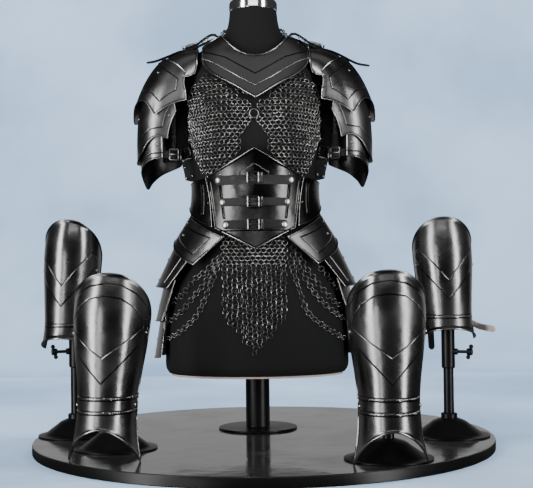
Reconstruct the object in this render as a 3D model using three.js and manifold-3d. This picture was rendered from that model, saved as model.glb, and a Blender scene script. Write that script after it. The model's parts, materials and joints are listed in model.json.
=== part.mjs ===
/**
 * A suit of plate armour on a limbless dress form and display stands.
 *
 * Millimetres, +Z up, the suit faces -Y.  The origin is the centre of the platform's underside.
 * Every plate is a thin shell: an outline drawn on a curved surface, given a wall, and closed round
 * its rim.  The body, the shoulders, the hip lames and the limb guards each have one such surface.
 */
import * as THREE from 'three';
import { mergeVertices } from 'three/addons/utils/BufferGeometryUtils.js';
import Module from 'manifold-3d';

const wasm = await Module();
wasm.setup();

// ---------------------------------------------------------------- driving dimensions
const GAP = 0.3;                                  // air between pieces that rest on each other
const PLATE = 1.6;                                // wall of a steel plate
const LEATHER = 2.4;                              // wall of a strap
const MAIL = 2.6;                                 // wall that stands for the linked rings
const STRAP_WIDTH = 15;

const PLATFORM = { radius: 430, height: 18, bevel: 2 };
const FLOOR = PLATFORM.height + GAP;              // where things stand on the platform
const FIGURE = { x: -12, y: 90 };                 // the dress form's axis on the platform
const POLE = { radius: 23.5, flange: 77, flangeHeight: 3.5 };
const BOARD = { bottom: 125, height: 4, inset: 4 };
const NECK_CAP = { bottom: 841.3, band: 16.5, radius: 47.5, top: 875 };

/** The dress form, by height: half its width, and its depth before and behind the axis. */
const FORM_ROWS = [
  { z: 129.3, half: 173, front: 112, back: 116 },
  { z: 140, half: 179, front: 117, back: 121 },
  { z: 160, half: 180, front: 118, back: 123 },
  { z: 230, half: 176, front: 117, back: 124 },
  { z: 300, half: 165, front: 111, back: 117 },
  { z: 345, half: 153, front: 105, back: 107 },
  { z: 390, half: 138, front: 98, back: 97 },
  { z: 430, half: 125, front: 92, back: 90 },
  { z: 470, half: 117, front: 89, back: 86 },
  { z: 520, half: 118, front: 92, back: 88 },
  { z: 560, half: 124, front: 97, back: 92 },
  { z: 600, half: 131, front: 100, back: 95 },
  { z: 650, half: 137, front: 92, back: 97 },
  { z: 700, half: 142, front: 74, back: 85 },
  { z: 735, half: 140, front: 56, back: 62 },
  { z: 757, half: 114, front: 48, back: 54 },
  { z: 778, half: 80, front: 46, back: 52 },
  { z: 795, half: 58, front: 45, back: 49 },
  { z: 815, half: 50, front: 45, back: 46 },
  { z: 841, half: 46.5, front: 46.5, back: 46.5 },
];
const BUST = { apart: 62, wide: 38, z: 612, tall: 46, rise: 38 };

/** How far each layer's outer face stands off the form. */
const OFF = { mail: 6.4, corset: 10, corsetStrap: 13.4, gorget: 14, chain: 6.6 };

/** The pauldron's crest from the neck to the elbow: its place, tilt and the arc hung from it. */
const SHOULDER_ROWS = [
  { s: 0, x: 110, z: 773, tilt: 4, wide: 54, drop: 40 },
  { s: 1, x: 143, z: 766, tilt: 14, wide: 62, drop: 51 },
  { s: 2, x: 173, z: 752, tilt: 33, wide: 66, drop: 58 },
  { s: 3, x: 199, z: 727, tilt: 53, wide: 68, drop: 62 },
  { s: 4, x: 218, z: 694, tilt: 68, wide: 69, drop: 62 },
  { s: 5, x: 230, z: 654, tilt: 80, wide: 67, drop: 58 },
  { s: 6, x: 235, z: 610, tilt: 88, wide: 62, drop: 55 },
  { s: 7, x: 235, z: 560, tilt: 90, wide: 59, drop: 54 },
  { s: 8, x: 231, z: 510, tilt: 92, wide: 57, drop: 52 },
  { s: 9, x: 225, z: 462, tilt: 95, wide: 56, drop: 52 },
];

/** A forearm guard and a shin guard, by height above the platform's underside. */
const VAMBRACE_ROWS = [
  { z: 196, half: 48, front: 55, back: 52 },
  { z: 217, half: 45.5, front: 52, back: 50 },
  { z: 240, half: 45, front: 51, back: 50 },
  { z: 280, half: 48.5, front: 54, back: 52 },
  { z: 330, half: 53, front: 57, back: 55 },
  { z: 370, half: 54, front: 58, back: 56 },
  { z: 400, half: 51, front: 55, back: 54 },
  { z: 425, half: 45, front: 49, back: 50 },
];
const GREAVE_ROWS = [
  { z: 18, half: 60, front: 72, back: 60 },
  { z: 60, half: 52, front: 63, back: 54 },
  { z: 102, half: 49, front: 58, back: 50 },
  { z: 130, half: 49.5, front: 58, back: 50 },
  { z: 165, half: 53, front: 61, back: 54 },
  { z: 210, half: 59, front: 66, back: 60 },
  { z: 262, half: 63, front: 70, back: 64 },
  { z: 300, half: 60, front: 67, back: 62 },
  { z: 332, half: 53, front: 61, back: 56 },
];

// ---------------------------------------------------------------- finishes
const finish = (color, roughness, metalness) => (
  new THREE.MeshStandardMaterial({ color, roughness, metalness }));
const FINISH = {
  plate: finish(0x2b2b2d, 0.28, 1),
  mail: finish(0x3a3a3b, 0.42, 1),
  chain: finish(0x454546, 0.4, 1),
  leather: finish(0x141314, 0.55, 0),
  cloth: finish(0x151516, 0.85, 0),
  chrome: finish(0xc9c7c6, 0.15, 1),
  wood: finish(0xa9887f, 0.7, 0),
  paint: finish(0x101011, 0.35, 0),
};

// ---------------------------------------------------------------- small maths
const radians = THREE.MathUtils.degToRad;
const degrees = THREE.MathUtils.radToDeg;
const sine = (angle) => Math.sin(radians(angle));
const cosine = (angle) => Math.cos(radians(angle));
const bell = (distance, width) => Math.exp(-0.5 * (distance / width) ** 2);
const point = (x, y, z) => new THREE.Vector3(x, y, z);

/** Reads any column of a table as a smooth curve of its key column, held level past the ends. */
function smoothTable(rows, key) {
  const slope = (name, i) => {
    const low = rows[Math.max(0, i - 1)];
    const high = rows[Math.min(rows.length - 1, i + 1)];
    return (high[name] - low[name]) / (high[key] - low[key]);
  };
  return (name, value) => {
    const at = THREE.MathUtils.clamp(value, rows[0][key], rows.at(-1)[key]);
    const i = Math.min(rows.length - 2, Math.max(0, rows.findIndex((row) => row[key] > at) - 1));
    const here = rows.findIndex((row) => row[key] > at) < 0 ? rows.length - 2 : i;
    const step = rows[here + 1][key] - rows[here][key];
    const t = (at - rows[here][key]) / step;
    const rise = (t * t) * (3 - 2 * t);
    return rows[here][name] * (1 - rise) + rows[here + 1][name] * rise
      + step * t * (1 - t) * ((1 - t) * slope(name, here) - t * slope(name, here + 1));
  };
}

// ---------------------------------------------------------------- surfaces to draw plates on
// A surface has at(p, q), a point, and core(p, q), a point well inside it that tells out from in.
const form = smoothTable(FORM_ROWS, 'z');
const crest = smoothTable(SHOULDER_ROWS, 's');

const bustRise = (x, z) => BUST.rise * bell(z - BUST.z, BUST.tall)
  * (bell(x - BUST.apart, BUST.wide) + bell(x + BUST.apart, BUST.wide));

/** The form's skin moved out by a distance: p is the angle from the front in degrees, q the height. */
function aroundBody(offset, ridge = () => 0) {
  return {
    at(angle, z) {
      const x = (form('half', z) + offset) * sine(angle);
      const depth = form(Math.abs(angle) <= 90 ? 'front' : 'back', z) + offset;
      return point(x, -(depth + ridge(x)) * cosine(angle) - bustRise(x, z) * Math.max(0, cosine(angle)), z);
    },
    core: (angle, z) => point(0, 0, z),
  };
}

/** The same skin read from the front: p is the place across the body, q the height. */
function frontOfBody(offset, ridge) {
  const skin = aroundBody(offset, ridge);
  const angleOf = (x, z) => degrees(Math.asin(THREE.MathUtils.clamp(x / (form('half', z) + offset), -1, 1)));
  return { at: (x, z) => skin.at(angleOf(x, z), z), core: (x, z) => point(x * 0.3, 0, z) };
}

/** The shoulder: p is the angle from the crest to the front in degrees, q runs from neck to elbow. */
function aroundShoulder(side) {
  return {
    at(angle, s) {
      const fall = crest('drop', s) * (1 - cosine(angle));
      return point(
        side * (crest('x', s) - sine(crest('tilt', s)) * fall),
        -crest('wide', s) * sine(angle),
        crest('z', s) - cosine(crest('tilt', s)) * fall,
      );
    },
    core: (angle, s) => point(
      side * (crest('x', s) - sine(crest('tilt', s)) * crest('drop', s)), 0,
      crest('z', s) - cosine(crest('tilt', s)) * crest('drop', s),
    ),
  };
}

/** A hip lame flares straight from its top to its hem: p is the angle from the front, q the height. */
function aroundHip(side, lame) {
  const along = (top, hem, z) => THREE.MathUtils.mapLinear(z, lame.topZ, lame.hemZ, top, hem);
  return {
    at(angle, z) {
      const depth = along(lame.topDepth, lame.hemDepth, z);
      return point(side * along(lame.topHalf, lame.hemHalf, z) * sine(angle), -depth * cosine(angle), z);
    },
    core: (angle, z) => point(side * 40, 0, z),
  };
}

/**
 * A limb guard or its strap: p is the angle from the front, q the height.  The axis leans to the
 * side by `lean` for each millimetre above the guard's foot.
 */
function aroundLimb(rows, { lean = 0, inset = 0, back = null } = {}) {
  const limb = smoothTable(rows, 'z');
  const axisX = (z) => lean * (z - rows[0].z);
  return {
    at(angle, z) {
      const behind = back ?? limb('back', z) - inset;
      const depth = Math.abs(angle) <= 90 ? limb('front', z) - inset : behind;
      return point(axisX(z) + (limb('half', z) - inset) * sine(angle), -depth * cosine(angle), z);
    },
    core: (angle, z) => point(axisX(z), 0, z),
  };
}

/** A ribbon laid along a curve: p runs along it from 0 to 1, q is the place across it. */
function alongRibbon(points, across, behind) {
  const curve = new THREE.CatmullRomCurve3(points);
  const at = (t, q) => curve.getPointAt(THREE.MathUtils.clamp(t, 0, 1)).addScaledVector(across, q);
  return { at, core: (t, q) => at(t, q).add(behind) };
}

// ---------------------------------------------------------------- closed shells
/** The unit normal of a surface at (p, q), turned away from its core. */
function outward(surface, p, q, stepP, stepQ) {
  const across = surface.at(p + stepP, q).sub(surface.at(p - stepP, q));
  const down = surface.at(p, q + stepQ).sub(surface.at(p, q - stepQ));
  const normal = across.cross(down).normalize();
  return normal.dot(surface.at(p, q).sub(surface.core(p, q))) < 0 ? normal.negate() : normal;
}

/** Turns every face over if the closed geometry is inside out. */
function facingOut(geometry) {
  const position = geometry.getAttribute('position');
  const corner = (i) => new THREE.Vector3().fromBufferAttribute(position, i);
  const index = geometry.getIndex();
  let volume = 0;
  for (let i = 0; i < index.count; i += 3) {
    const [a, b, c] = [0, 1, 2].map((k) => corner(index.getX(i + k)));
    volume += a.dot(b.cross(c));
  }
  if (volume < 0) {
    for (let i = 0; i < index.count; i += 3) {
      const held = index.getX(i);
      index.setX(i, index.getX(i + 1));
      index.setX(i + 1, held);
    }
  }
  return geometry;
}

/**
 * A wall over a grid of points: outer and inner are [row][column] grids, and cells that are
 * switched off leave openings.  Walls close every free edge.
 */
function wallOver(outer, inner, isOn = () => true) {
  const rows = outer.length;
  const columns = outer[0].length;
  const vertices = [];
  const indices = [];
  const numbers = new Map();
  const vertex = (skin, row, column) => {
    const key = `${skin}/${row}/${column}`;
    if (!numbers.has(key)) {
      const where = (skin === 'outer' ? outer : inner)[row][column];
      numbers.set(key, vertices.length / 3);
      vertices.push(where.x, where.y, where.z);
    }
    return numbers.get(key);
  };
  const quad = (a, b, c, d) => indices.push(a, b, c, a, c, d);
  const within = (row, column) => row >= 0 && column >= 0 && row < rows - 1 && column < columns - 1;
  const on = (row, column) => within(row, column) && isOn(row, column);
  for (let row = 0; row < rows - 1; row += 1) {
    for (let column = 0; column < columns - 1; column += 1) {
      if (!on(row, column)) continue;
      const corners = [[row, column], [row + 1, column], [row + 1, column + 1], [row, column + 1]];
      const front = corners.map(([r, c]) => vertex('outer', r, c));
      const rear = corners.map(([r, c]) => vertex('inner', r, c));
      quad(...front);
      quad(rear[0], rear[3], rear[2], rear[1]);
      const beyond = [[row, column - 1], [row + 1, column], [row, column + 1], [row - 1, column]];
      beyond.forEach(([r, c], edge) => {
        const next = (edge + 1) % 4;
        if (!on(r, c)) quad(front[edge], rear[edge], rear[next], front[next]);
      });
    }
  }
  const geometry = new THREE.BufferGeometry();
  geometry.setAttribute('position', new THREE.Float32BufferAttribute(vertices, 3));
  geometry.setIndex(indices);
  return facingOut(geometry);
}

/**
 * A plate on a surface.  Each station gives the plate's top and bottom edge as [p, q] pairs, and the
 * plate is ruled between them.  span is the widest step of p that one cell may take, and flare is
 * how far the bottom edge springs out.
 */
function plateOn(
  surface, stations, { rows = 4, span = 18, wall = PLATE, lift = 0, flare = 0, steps = [0.5, 0.5] },
) {
  const places = [];
  stations.slice(0, -1).forEach((from, i) => {
    const to = stations[i + 1];
    const widest = Math.max(Math.abs(to.top[0] - from.top[0]), Math.abs(to.bottom[0] - from.bottom[0]));
    const columns = Math.ceil(widest / span);
    for (let k = 0; k < columns; k += 1) places.push({ from, to, t: k / columns });
  });
  places.push({ from: stations.at(-2), to: stations.at(-1), t: 1 });
  const mix = (a, b, t) => [0, 1].map((k) => THREE.MathUtils.lerp(a[k], b[k], t));
  const grid = (depth) => Array.from({ length: rows + 1 }, (_, row) => places.map(({ from, to, t }) => {
    const [p, q] = mix(mix(from.top, to.top, t), mix(from.bottom, to.bottom, t), row / rows);
    const spring = flare * (row / rows) ** 3;
    return surface.at(p, q).addScaledVector(outward(surface, p, q, ...steps), depth + spring);
  }));
  return wallOver(grid(lift), grid(lift - wall));
}

/** The same stations on the other side of the body, where angles and places across turn over. */
const mirrored = (stations) => stations.map(({ top, bottom }) => (
  { top: [-top[0], top[1]], bottom: [-bottom[0], bottom[1]] })).reverse();

/** A flat strap along a curve, its width lying along `across` and its rear towards `behind`. */
function ribbonOn(surface, width) {
  const half = width / 2;
  return plateOn(surface, [{ top: [0, -half], bottom: [0, half] }, { top: [1, -half], bottom: [1, half] }],
    { rows: 1, span: 0.09, wall: LEATHER, steps: [0.01, 1] });
}

/** Stations that are the same on both sides, written for one side from the centre outwards. */
const bothSides = (half) => [...mirrored(half.slice(half[0].top[0] === 0 ? 1 : 0)), ...half];

// ---------------------------------------------------------------- solids for joining and cutting
function toSolid(geometry) {
  const bare = geometry.clone();
  bare.deleteAttribute('normal');
  bare.deleteAttribute('uv');
  const merged = mergeVertices(bare, 1e-4);
  return new wasm.Manifold(new wasm.Mesh({
    numProp: 3,
    vertProperties: new Float32Array(merged.getAttribute('position').array),
    triVerts: new Uint32Array(merged.getIndex().array),
  }));
}

function toGeometry(solid) {
  const mesh = solid.getMesh();
  const geometry = new THREE.BufferGeometry();
  geometry.setAttribute('position', new THREE.Float32BufferAttribute(mesh.vertProperties, 3));
  geometry.setIndex(Array.from(mesh.triVerts));
  return geometry;
}

const joined = (...geometries) => toGeometry(geometries.map(toSolid).reduce((all, next) => all.add(next)));
const cut = (body, ...tools) => (
  toGeometry(tools.map(toSolid).reduce((all, next) => all.subtract(next), toSolid(body))));

/** A turned solid about Z from [radius, height] pairs. */
function turned(profile, sides = 32) {
  return new THREE.LatheGeometry(profile.map(([radius, z]) => new THREE.Vector2(radius, z)), sides)
    .rotateX(Math.PI / 2);
}

/** A round rod from one point to another. */
function rod(from, to, radius, sides = 12) {
  const axis = to.clone().sub(from);
  const turn = new THREE.Quaternion().setFromUnitVectors(point(0, 1, 0), axis.clone().normalize());
  return new THREE.CylinderGeometry(radius, radius, axis.length(), sides)
    .applyQuaternion(turn)
    .translate(...from.clone().add(to).multiplyScalar(0.5).toArray());
}

/** A tube along a smooth curve through points. */
function tube(points, radius, steps, sides = 5) {
  const corner = (angle) => new THREE.Vector2(radius * cosine(angle), radius * sine(angle));
  const section = new THREE.Shape(Array.from({ length: sides }, (_, k) => corner((360 * k) / sides)));
  const extrudePath = new THREE.CatmullRomCurve3(points);
  return new THREE.ExtrudeGeometry(section, { steps, bevelEnabled: false, extrudePath });
}

/** A buckle: a square frame with its prong, laid on a strap and sunk a little into it. */
function buckle(place, along, normal, { length = 20, width = 21, bar = 3, sink = 1.4 } = {}) {
  const outline = new THREE.Shape([[-1, -1], [1, -1], [1, 1], [-1, 1]]
    .map(([x, y]) => new THREE.Vector2((x * length) / 2, (y * width) / 2)));
  outline.holes.push(new THREE.Path([[-1, -1], [-1, 1], [1, 1], [1, -1]]
    .map(([x, y]) => new THREE.Vector2(x * (length / 2 - bar), y * (width / 2 - bar)))));
  const frame = new THREE.ExtrudeGeometry(outline, { depth: bar, bevelEnabled: false });
  const prong = new THREE.BoxGeometry(length - bar, bar * 0.7, bar * 0.7).translate(0, 0, bar * 0.6);
  const up = normal.clone().normalize();
  const way = along.clone().addScaledVector(up, -along.dot(up)).normalize();
  const basis = new THREE.Matrix4().makeBasis(way, up.clone().cross(way), up)
    .setPosition(place.clone().addScaledVector(up, -sink));
  return joined(frame, prong).applyMatrix4(basis);
}

const suit = new THREE.Group();
suit.name = 'armour_on_dress_form';
const figure = new THREE.Group();
figure.position.set(FIGURE.x, FIGURE.y, 0);
suit.add(figure);

function addTo(group, name, geometry, material) {
  const mesh = new THREE.Mesh(geometry, material);
  mesh.name = name;
  group.add(mesh);
  return mesh;
}

const SIDES = [{ word: 'left', side: -1 }, { word: 'right', side: 1 }];

// ---------------------------------------------------------------- platform, pole and dress form
function platform() {
  const { radius, height, bevel } = PLATFORM;
  return turned([[0, 0], [radius, 0], [radius, height - bevel], [radius - bevel, height], [0, height]], 60);
}

function mainPole() {
  const { radius, flange, flangeHeight } = POLE;
  const top = BOARD.bottom - GAP;
  return turned([[0, FLOOR], [flange, FLOOR], [flange, FLOOR + flangeHeight],
    [radius, FLOOR + flangeHeight + 1], [radius, top], [0, top]], 28);
}

/** A closed solid through level rings of the form's skin, from one height to another. */
function formSolid(heights, offset, sides = 26) {
  const skin = aroundBody(offset);
  const ring = (z) => Array.from({ length: sides }, (_, k) => skin.at(-180 + (360 * k) / sides, z));
  const rings = heights.map(ring);
  const vertices = rings.flat().flatMap((p) => p.toArray());
  const indices = [];
  rings.slice(1).forEach((_, row) => {
    for (let k = 0; k < sides; k += 1) {
      const [a, b] = [row * sides + k, row * sides + ((k + 1) % sides)];
      indices.push(a, b, b + sides, a, b + sides, a + sides);
    }
  });
  const last = (rings.length - 1) * sides;
  for (let k = 1; k < sides - 1; k += 1) {
    indices.push(0, k + 1, k, last, last + k, last + k + 1);
  }
  const geometry = new THREE.BufferGeometry();
  geometry.setAttribute('position', new THREE.Float32BufferAttribute(vertices, 3));
  geometry.setIndex(indices);
  return facingOut(geometry);
}

function formBoard() {
  const outline = new THREE.Shape(Array.from({ length: 32 }, (_, k) => {
    const p = aroundBody(-BOARD.inset).at(-180 + (360 * k) / 32, FORM_ROWS[0].z);
    return new THREE.Vector2(p.x, p.y);
  }));
  return new THREE.ExtrudeGeometry(outline, { depth: BOARD.height, bevelEnabled: false })
    .translate(0, 0, BOARD.bottom);
}

function neckCap() {
  const { bottom, band, radius, top } = NECK_CAP;
  const shoulder = bottom + band;
  return turned([[0, bottom], [radius, bottom], [radius, shoulder], [radius - 2.5, shoulder + 3],
    [radius * 0.72, shoulder + 8.5], [radius * 0.36, top - 2.5], [0, top]], 24);
}

addTo(suit, 'platform', platform(), FINISH.paint);
addTo(figure, 'main_pole', mainPole(), FINISH.paint);
addTo(figure, 'form_board', formBoard(), FINISH.wood);
const FORM_HEIGHTS = [129.3, 139, 165, 230, 290, 340, 390, 435, 480, 530, 575, 612, 650, 690, 722, 745,
  762, 780, 800, 841];
addTo(figure, 'dress_form', formSolid(FORM_HEIGHTS, 0), FINISH.cloth);
addTo(figure, 'neck_cap', neckCap(), FINISH.chrome);

// ---------------------------------------------------------------- gorget, its chain and straps
const GORGET = { shift: 3.5, throat: 744, throatRise: 44, throatHalf: 66 };
const throatZ = (x) => GORGET.throat + GORGET.throatRise * (Math.abs(x) / GORGET.throatHalf) ** 1.9;
const GORGET_HALF = [
  { x: 0, bottom: 654 }, { x: 18, bottom: 665 }, { x: 36, bottom: 677 }, { x: 52, bottom: 687 },
  { x: GORGET.throatHalf, bottom: 695 }, { x: 86, top: 779, bottom: 709 }, { x: 98, top: 771, bottom: 722 },
  { x: 104, top: 766, bottom: 734 },
].map(({ x, top, bottom }) => ({ top: [x, top ?? throatZ(x)], bottom: [x, bottom] }));

const gorgetStations = bothSides(GORGET_HALF).map(({ top, bottom }) => (
  { top: [top[0] + GORGET.shift, top[1]], bottom: [bottom[0] + GORGET.shift, bottom[1]] }));
addTo(figure, 'gorget', plateOn(frontOfBody(OFF.gorget), gorgetStations, { rows: 4, span: 20 }),
  FINISH.plate);

const NECK_CHAIN = [[62, -36, 796], [70, -6, 799], [60, 28, 806], [34, 52, 813], [0, 61, 816]];
const neckPath = [...NECK_CHAIN, ...NECK_CHAIN.slice(0, -1).reverse().map(([x, y, z]) => [-x, y, z])];
addTo(figure, 'neck_chain', tube(neckPath.map((p) => point(...p)), 2.6, 18), FINISH.chain);

/** A strap from the gorget's corner over the shoulder, with its buckle and a long free tongue. */
function shoulderStrap({ side, tipX, tipZ }) {
  const line = [[70, 795], [92, 789], [118, 778.5], [145, 768.5], [172, 759],
    [(172 + tipX) / 2, (758 + tipZ) / 2], [tipX, tipZ]];
  const path = line.map(([x, z]) => point(side * x, -9, z));
  const surface = alongRibbon(path, point(0, 1, 0), point(0, 0, -30));
  const seat = 0.36;
  const along = surface.at(seat + 0.03, 0).sub(surface.at(seat - 0.03, 0));
  const up = outward(surface, seat, 0, 0.01, 1);
  return joined(ribbonOn(surface, STRAP_WIDTH), buckle(surface.at(seat, 0), along, up));
}

// ---------------------------------------------------------------- pauldrons: four lames each side
const PAULDRON_LAMES = [
  { lift: -3.8, flare: 0, rows: 2, half: [
    { top: [0, 0], bottom: [0, 2.45] }, { top: [38, 0], bottom: [34, 2.4] },
    { top: [72, 0], bottom: [66, 2] }, { top: [100, 0.05], bottom: [94, 1.45] },
    { top: [116, 0.25], bottom: [110, 0.75] }] },
  { lift: 0, flare: 6, rows: 5, front: [
    { top: [0, 2.2], bottom: [-12, 5.75] }, { top: [10, 2.2], bottom: [6, 5.28] },
    { top: [16, 2.18], bottom: [24, 4.93] }, { top: [24, 2.14], bottom: [43, 4.8] },
    { top: [34, 2.05], bottom: [58, 4.95] }, { top: [48, 1.9], bottom: [77, 5.5] },
    { top: [66, 1.55], bottom: [98, 4.8] }, { top: [97, 0.95], bottom: [119, 4] }],
  back: [{ top: [-84, 1.1], bottom: [-119, 4] }, { top: [-58, 1.7], bottom: [-84, 4.9] },
    { top: [-28, 2.1], bottom: [-42, 5.5] }] },
  { lift: -4, flare: 2.5, rows: 4, front: [
    { top: [0, 4.3], bottom: [-8, 7.42] }, { top: [22, 4.35], bottom: [20, 7.3] },
    { top: [44, 4.4], bottom: [43, 7] }, { top: [62, 4.4], bottom: [60, 6.65] },
    { top: [80, 4.4], bottom: [76, 6.45] }, { top: [97, 4.4], bottom: [88, 6.4] },
    { top: [105, 4.9], bottom: [96, 6.5] }],
  back: [{ top: [-112, 4.8], bottom: [-98, 6.6] }, { top: [-80, 4.4], bottom: [-76, 6.9] },
    { top: [-40, 4.35], bottom: [-42, 7.3] }] },
  { lift: -8, flare: 0, rows: 3, front: [
    { top: [0, 6], bottom: [0, 7.85] }, { top: [36, 6], bottom: [36, 7.5] },
    { top: [62, 6], bottom: [62, 7.3] },
    { top: [86, 6], bottom: [86, 7.25] }],
  back: [{ top: [-105, 6], bottom: [-105, 7.45] }, { top: [-76, 6], bottom: [-76, 7.75] },
    { top: [-50, 6], bottom: [-52, 8.1] },
    { top: [-30, 6], bottom: [-30, 8.4] }, { top: [-14, 6], bottom: [-14, 8.1] }] },
];

function pauldronLame(side, lame) {
  const stations = lame.half ? bothSides(lame.half) : [...lame.back, ...lame.front];
  const { rows, lift, flare } = lame;
  return plateOn(aroundShoulder(side), stations, { rows, lift, flare, steps: [1, 0.05] });
}

/** The strap that closes the upper arm on the body's side, with its buckle to the front. */
function armStrap(side) {
  const arm = { x: 181, inner: 43, wide: 47.5, z: 556 };
  const surface = {
    at: (angle, z) => point(side * (arm.x + arm.inner * cosine(angle)), -arm.wide * sine(angle), z),
    core: (angle, z) => point(side * arm.x, 0, z),
  };
  const [low, high] = [arm.z - STRAP_WIDTH / 2, arm.z + STRAP_WIDTH / 2];
  const ends = [84, 276].map((angle) => ({ top: [angle, high], bottom: [angle, low] }));
  const band = plateOn(surface, ends, { rows: 1, span: 20, wall: LEATHER });
  const seat = 122;
  const along = surface.at(seat + 3, arm.z).sub(surface.at(seat - 3, arm.z));
  return joined(band, buckle(surface.at(seat, arm.z), along, outward(surface, seat, arm.z, 1, 1)));
}

SIDES.forEach(({ word, side }) => {
  const tip = side < 0 ? { tipX: 212, tipZ: 742 } : { tipX: 229, tipZ: 731 };
  addTo(figure, `shoulder_strap_${word}`, shoulderStrap({ side, ...tip }), FINISH.leather);
  PAULDRON_LAMES.forEach((lame, i) => {
    addTo(figure, `pauldron_${word}_${i + 1}`, pauldronLame(side, lame), FINISH.plate);
  });
  addTo(figure, `arm_strap_${word}`, armStrap(side), FINISH.leather);
});

// ---------------------------------------------------------------- mail top
const MAIL_HALF = [
  { x: 0, top: 636, bottom: 611 }, { x: 9, top: 638, bottom: 606 }, { x: 18, top: 648, bottom: 592 },
  { x: 28, top: 658, bottom: 545 }, { x: 50, top: 680, bottom: 526 }, { x: 72, top: 697, bottom: 513 },
  { x: 94, top: 693, bottom: 503 }, { x: 114, top: 682, bottom: 530 }, { x: 126, top: 664, bottom: 556 },
  { x: 133, top: 640, bottom: 580 },
].map(({ x, top, bottom }) => ({ top: [x, top], bottom: [x, bottom] }));

addTo(figure, 'mail_top', plateOn(frontOfBody(OFF.mail), bothSides(MAIL_HALF),
  { rows: 7, span: 22, wall: MAIL }), FINISH.mail);

const MAIL_BAND = { from: 84, top: 606, bottom: 566 };
addTo(figure, 'mail_band', plateOn(aroundBody(OFF.mail), [
  { top: [MAIL_BAND.from, MAIL_BAND.top], bottom: [MAIL_BAND.from, MAIL_BAND.bottom] },
  { top: [360 - MAIL_BAND.from, MAIL_BAND.top], bottom: [360 - MAIL_BAND.from, MAIL_BAND.bottom] },
], { rows: 1, span: 16, wall: MAIL }), FINISH.mail);

const ringPlace = frontOfBody(OFF.mail + 3.2).at(0.5, 623);
addTo(figure, 'bust_ring', new THREE.TorusGeometry(7.6, 1.3, 6, 16).rotateX(Math.PI / 2)
  .translate(ringPlace.x, ringPlace.y, ringPlace.z), FINISH.chain);

// ---------------------------------------------------------------- corset
const CORSET_RIDGE = { rise: 9, half: 92 };
const ridge = (x) => CORSET_RIDGE.rise * Math.max(0, 1 - Math.abs(x) / CORSET_RIDGE.half) ** 1.3;
const CORSET_FRONT_HALF = [
  { top: [0, 560], bottom: [0, 369] }, { top: [30, 543], bottom: [26, 382.5] },
  { top: [60, 526.5], bottom: [52, 396] }, { top: [89, 510], bottom: [77, 409] },
];
addTo(figure, 'corset_front', plateOn(frontOfBody(OFF.corset, ridge), bothSides(CORSET_FRONT_HALF),
  { rows: 7, span: 16 }), FINISH.plate);

const CORSET_SIDE = [
  { top: [47.4, 508], bottom: [35.6, 412] }, { top: [66, 504], bottom: [60, 430] },
  { top: [88, 500], bottom: [88, 452] }, { top: [106, 499], bottom: [106, 456] },
];
SIDES.forEach(({ word, side }) => {
  const stations = side > 0 ? CORSET_SIDE : mirrored(CORSET_SIDE);
  addTo(figure, `corset_side_${word}`, plateOn(aroundBody(OFF.corset), stations, { rows: 5, span: 16 }),
    FINISH.plate);
});
addTo(figure, 'corset_back', plateOn(aroundBody(OFF.corset), [
  { top: [107, 499], bottom: [107, 456] }, { top: [180, 512], bottom: [180, 440] },
  { top: [253, 499], bottom: [253, 456] },
], { rows: 3, span: 16 }), FINISH.plate);

const CORSET_STRAPS = [{ z: 500, half: 76 }, { z: 459, half: 68 }, { z: 416, half: 62 }];
CORSET_STRAPS.forEach(({ z, half }, i) => {
  const height = 12.5;
  const [top, bottom] = [z + height / 2, z - height / 2];
  const surface = frontOfBody(OFF.corsetStrap, ridge);
  const stations = bothSides([0, half].map((x) => ({ top: [x, top], bottom: [x, bottom] })));
  const band = plateOn(surface, stations, { rows: 1, span: 16, wall: LEATHER });
  const frame = buckle(surface.at(-3, z), point(1, 0, 0), point(0, -1, 0), { length: 20, width: 18 });
  addTo(figure, `corset_strap_${i + 1}`, joined(band, frame), FINISH.leather);
});

// ---------------------------------------------------------------- tassets: four lames each side
const TASSET_LAMES = [
  { topZ: 455, hemZ: 340, topHalf: 118, hemHalf: 189.5, topDepth: 106, hemDepth: 130, rows: 5, stations: [
    { top: [23, 393.5], bottom: [23, 389.5] }, { top: [34, 404], bottom: [30.2, 368] },
    { top: [50, 419], bottom: [38.5, 340] }, { top: [66, 431], bottom: [60, 362] },
    { top: [90, 444], bottom: [90, 389] }, { top: [132, 444], bottom: [132, 390] }] },
  { topZ: 400, hemZ: 297, topHalf: 150, hemHalf: 199, topDepth: 112, hemDepth: 136, rows: 4, stations: [
    { top: [38, 396], bottom: [58.6, 296] }, { top: [62, 400], bottom: [72, 298] },
    { top: [90, 400], bottom: [90, 299] }, { top: [130, 400], bottom: [126, 300] }] },
  { topZ: 312, hemZ: 231, topHalf: 180, hemHalf: 199, topDepth: 126, hemDepth: 140, rows: 3, stations: [
    { top: [60, 312], bottom: [66, 233] }, { top: [78, 312], bottom: [80, 231.5] },
    { top: [98, 312], bottom: [98, 231] }, { top: [124, 312], bottom: [121, 232] }] },
  { topZ: 243, hemZ: 160, topHalf: 188.5, hemHalf: 202, topDepth: 132, hemDepth: 143, rows: 3, stations: [
    { top: [69, 243], bottom: [67, 163] }, { top: [82, 243], bottom: [82, 160] },
    { top: [98, 243], bottom: [98, 159.5] }, { top: [118, 243], bottom: [116, 160] }] },
];
SIDES.forEach(({ word, side }) => {
  TASSET_LAMES.forEach((lame, i) => {
    const geometry = plateOn(aroundHip(side, lame), lame.stations, { rows: lame.rows, span: 16 });
    addTo(figure, `tasset_${word}_${i + 1}`, geometry, FINISH.plate);
  });
});

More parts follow.
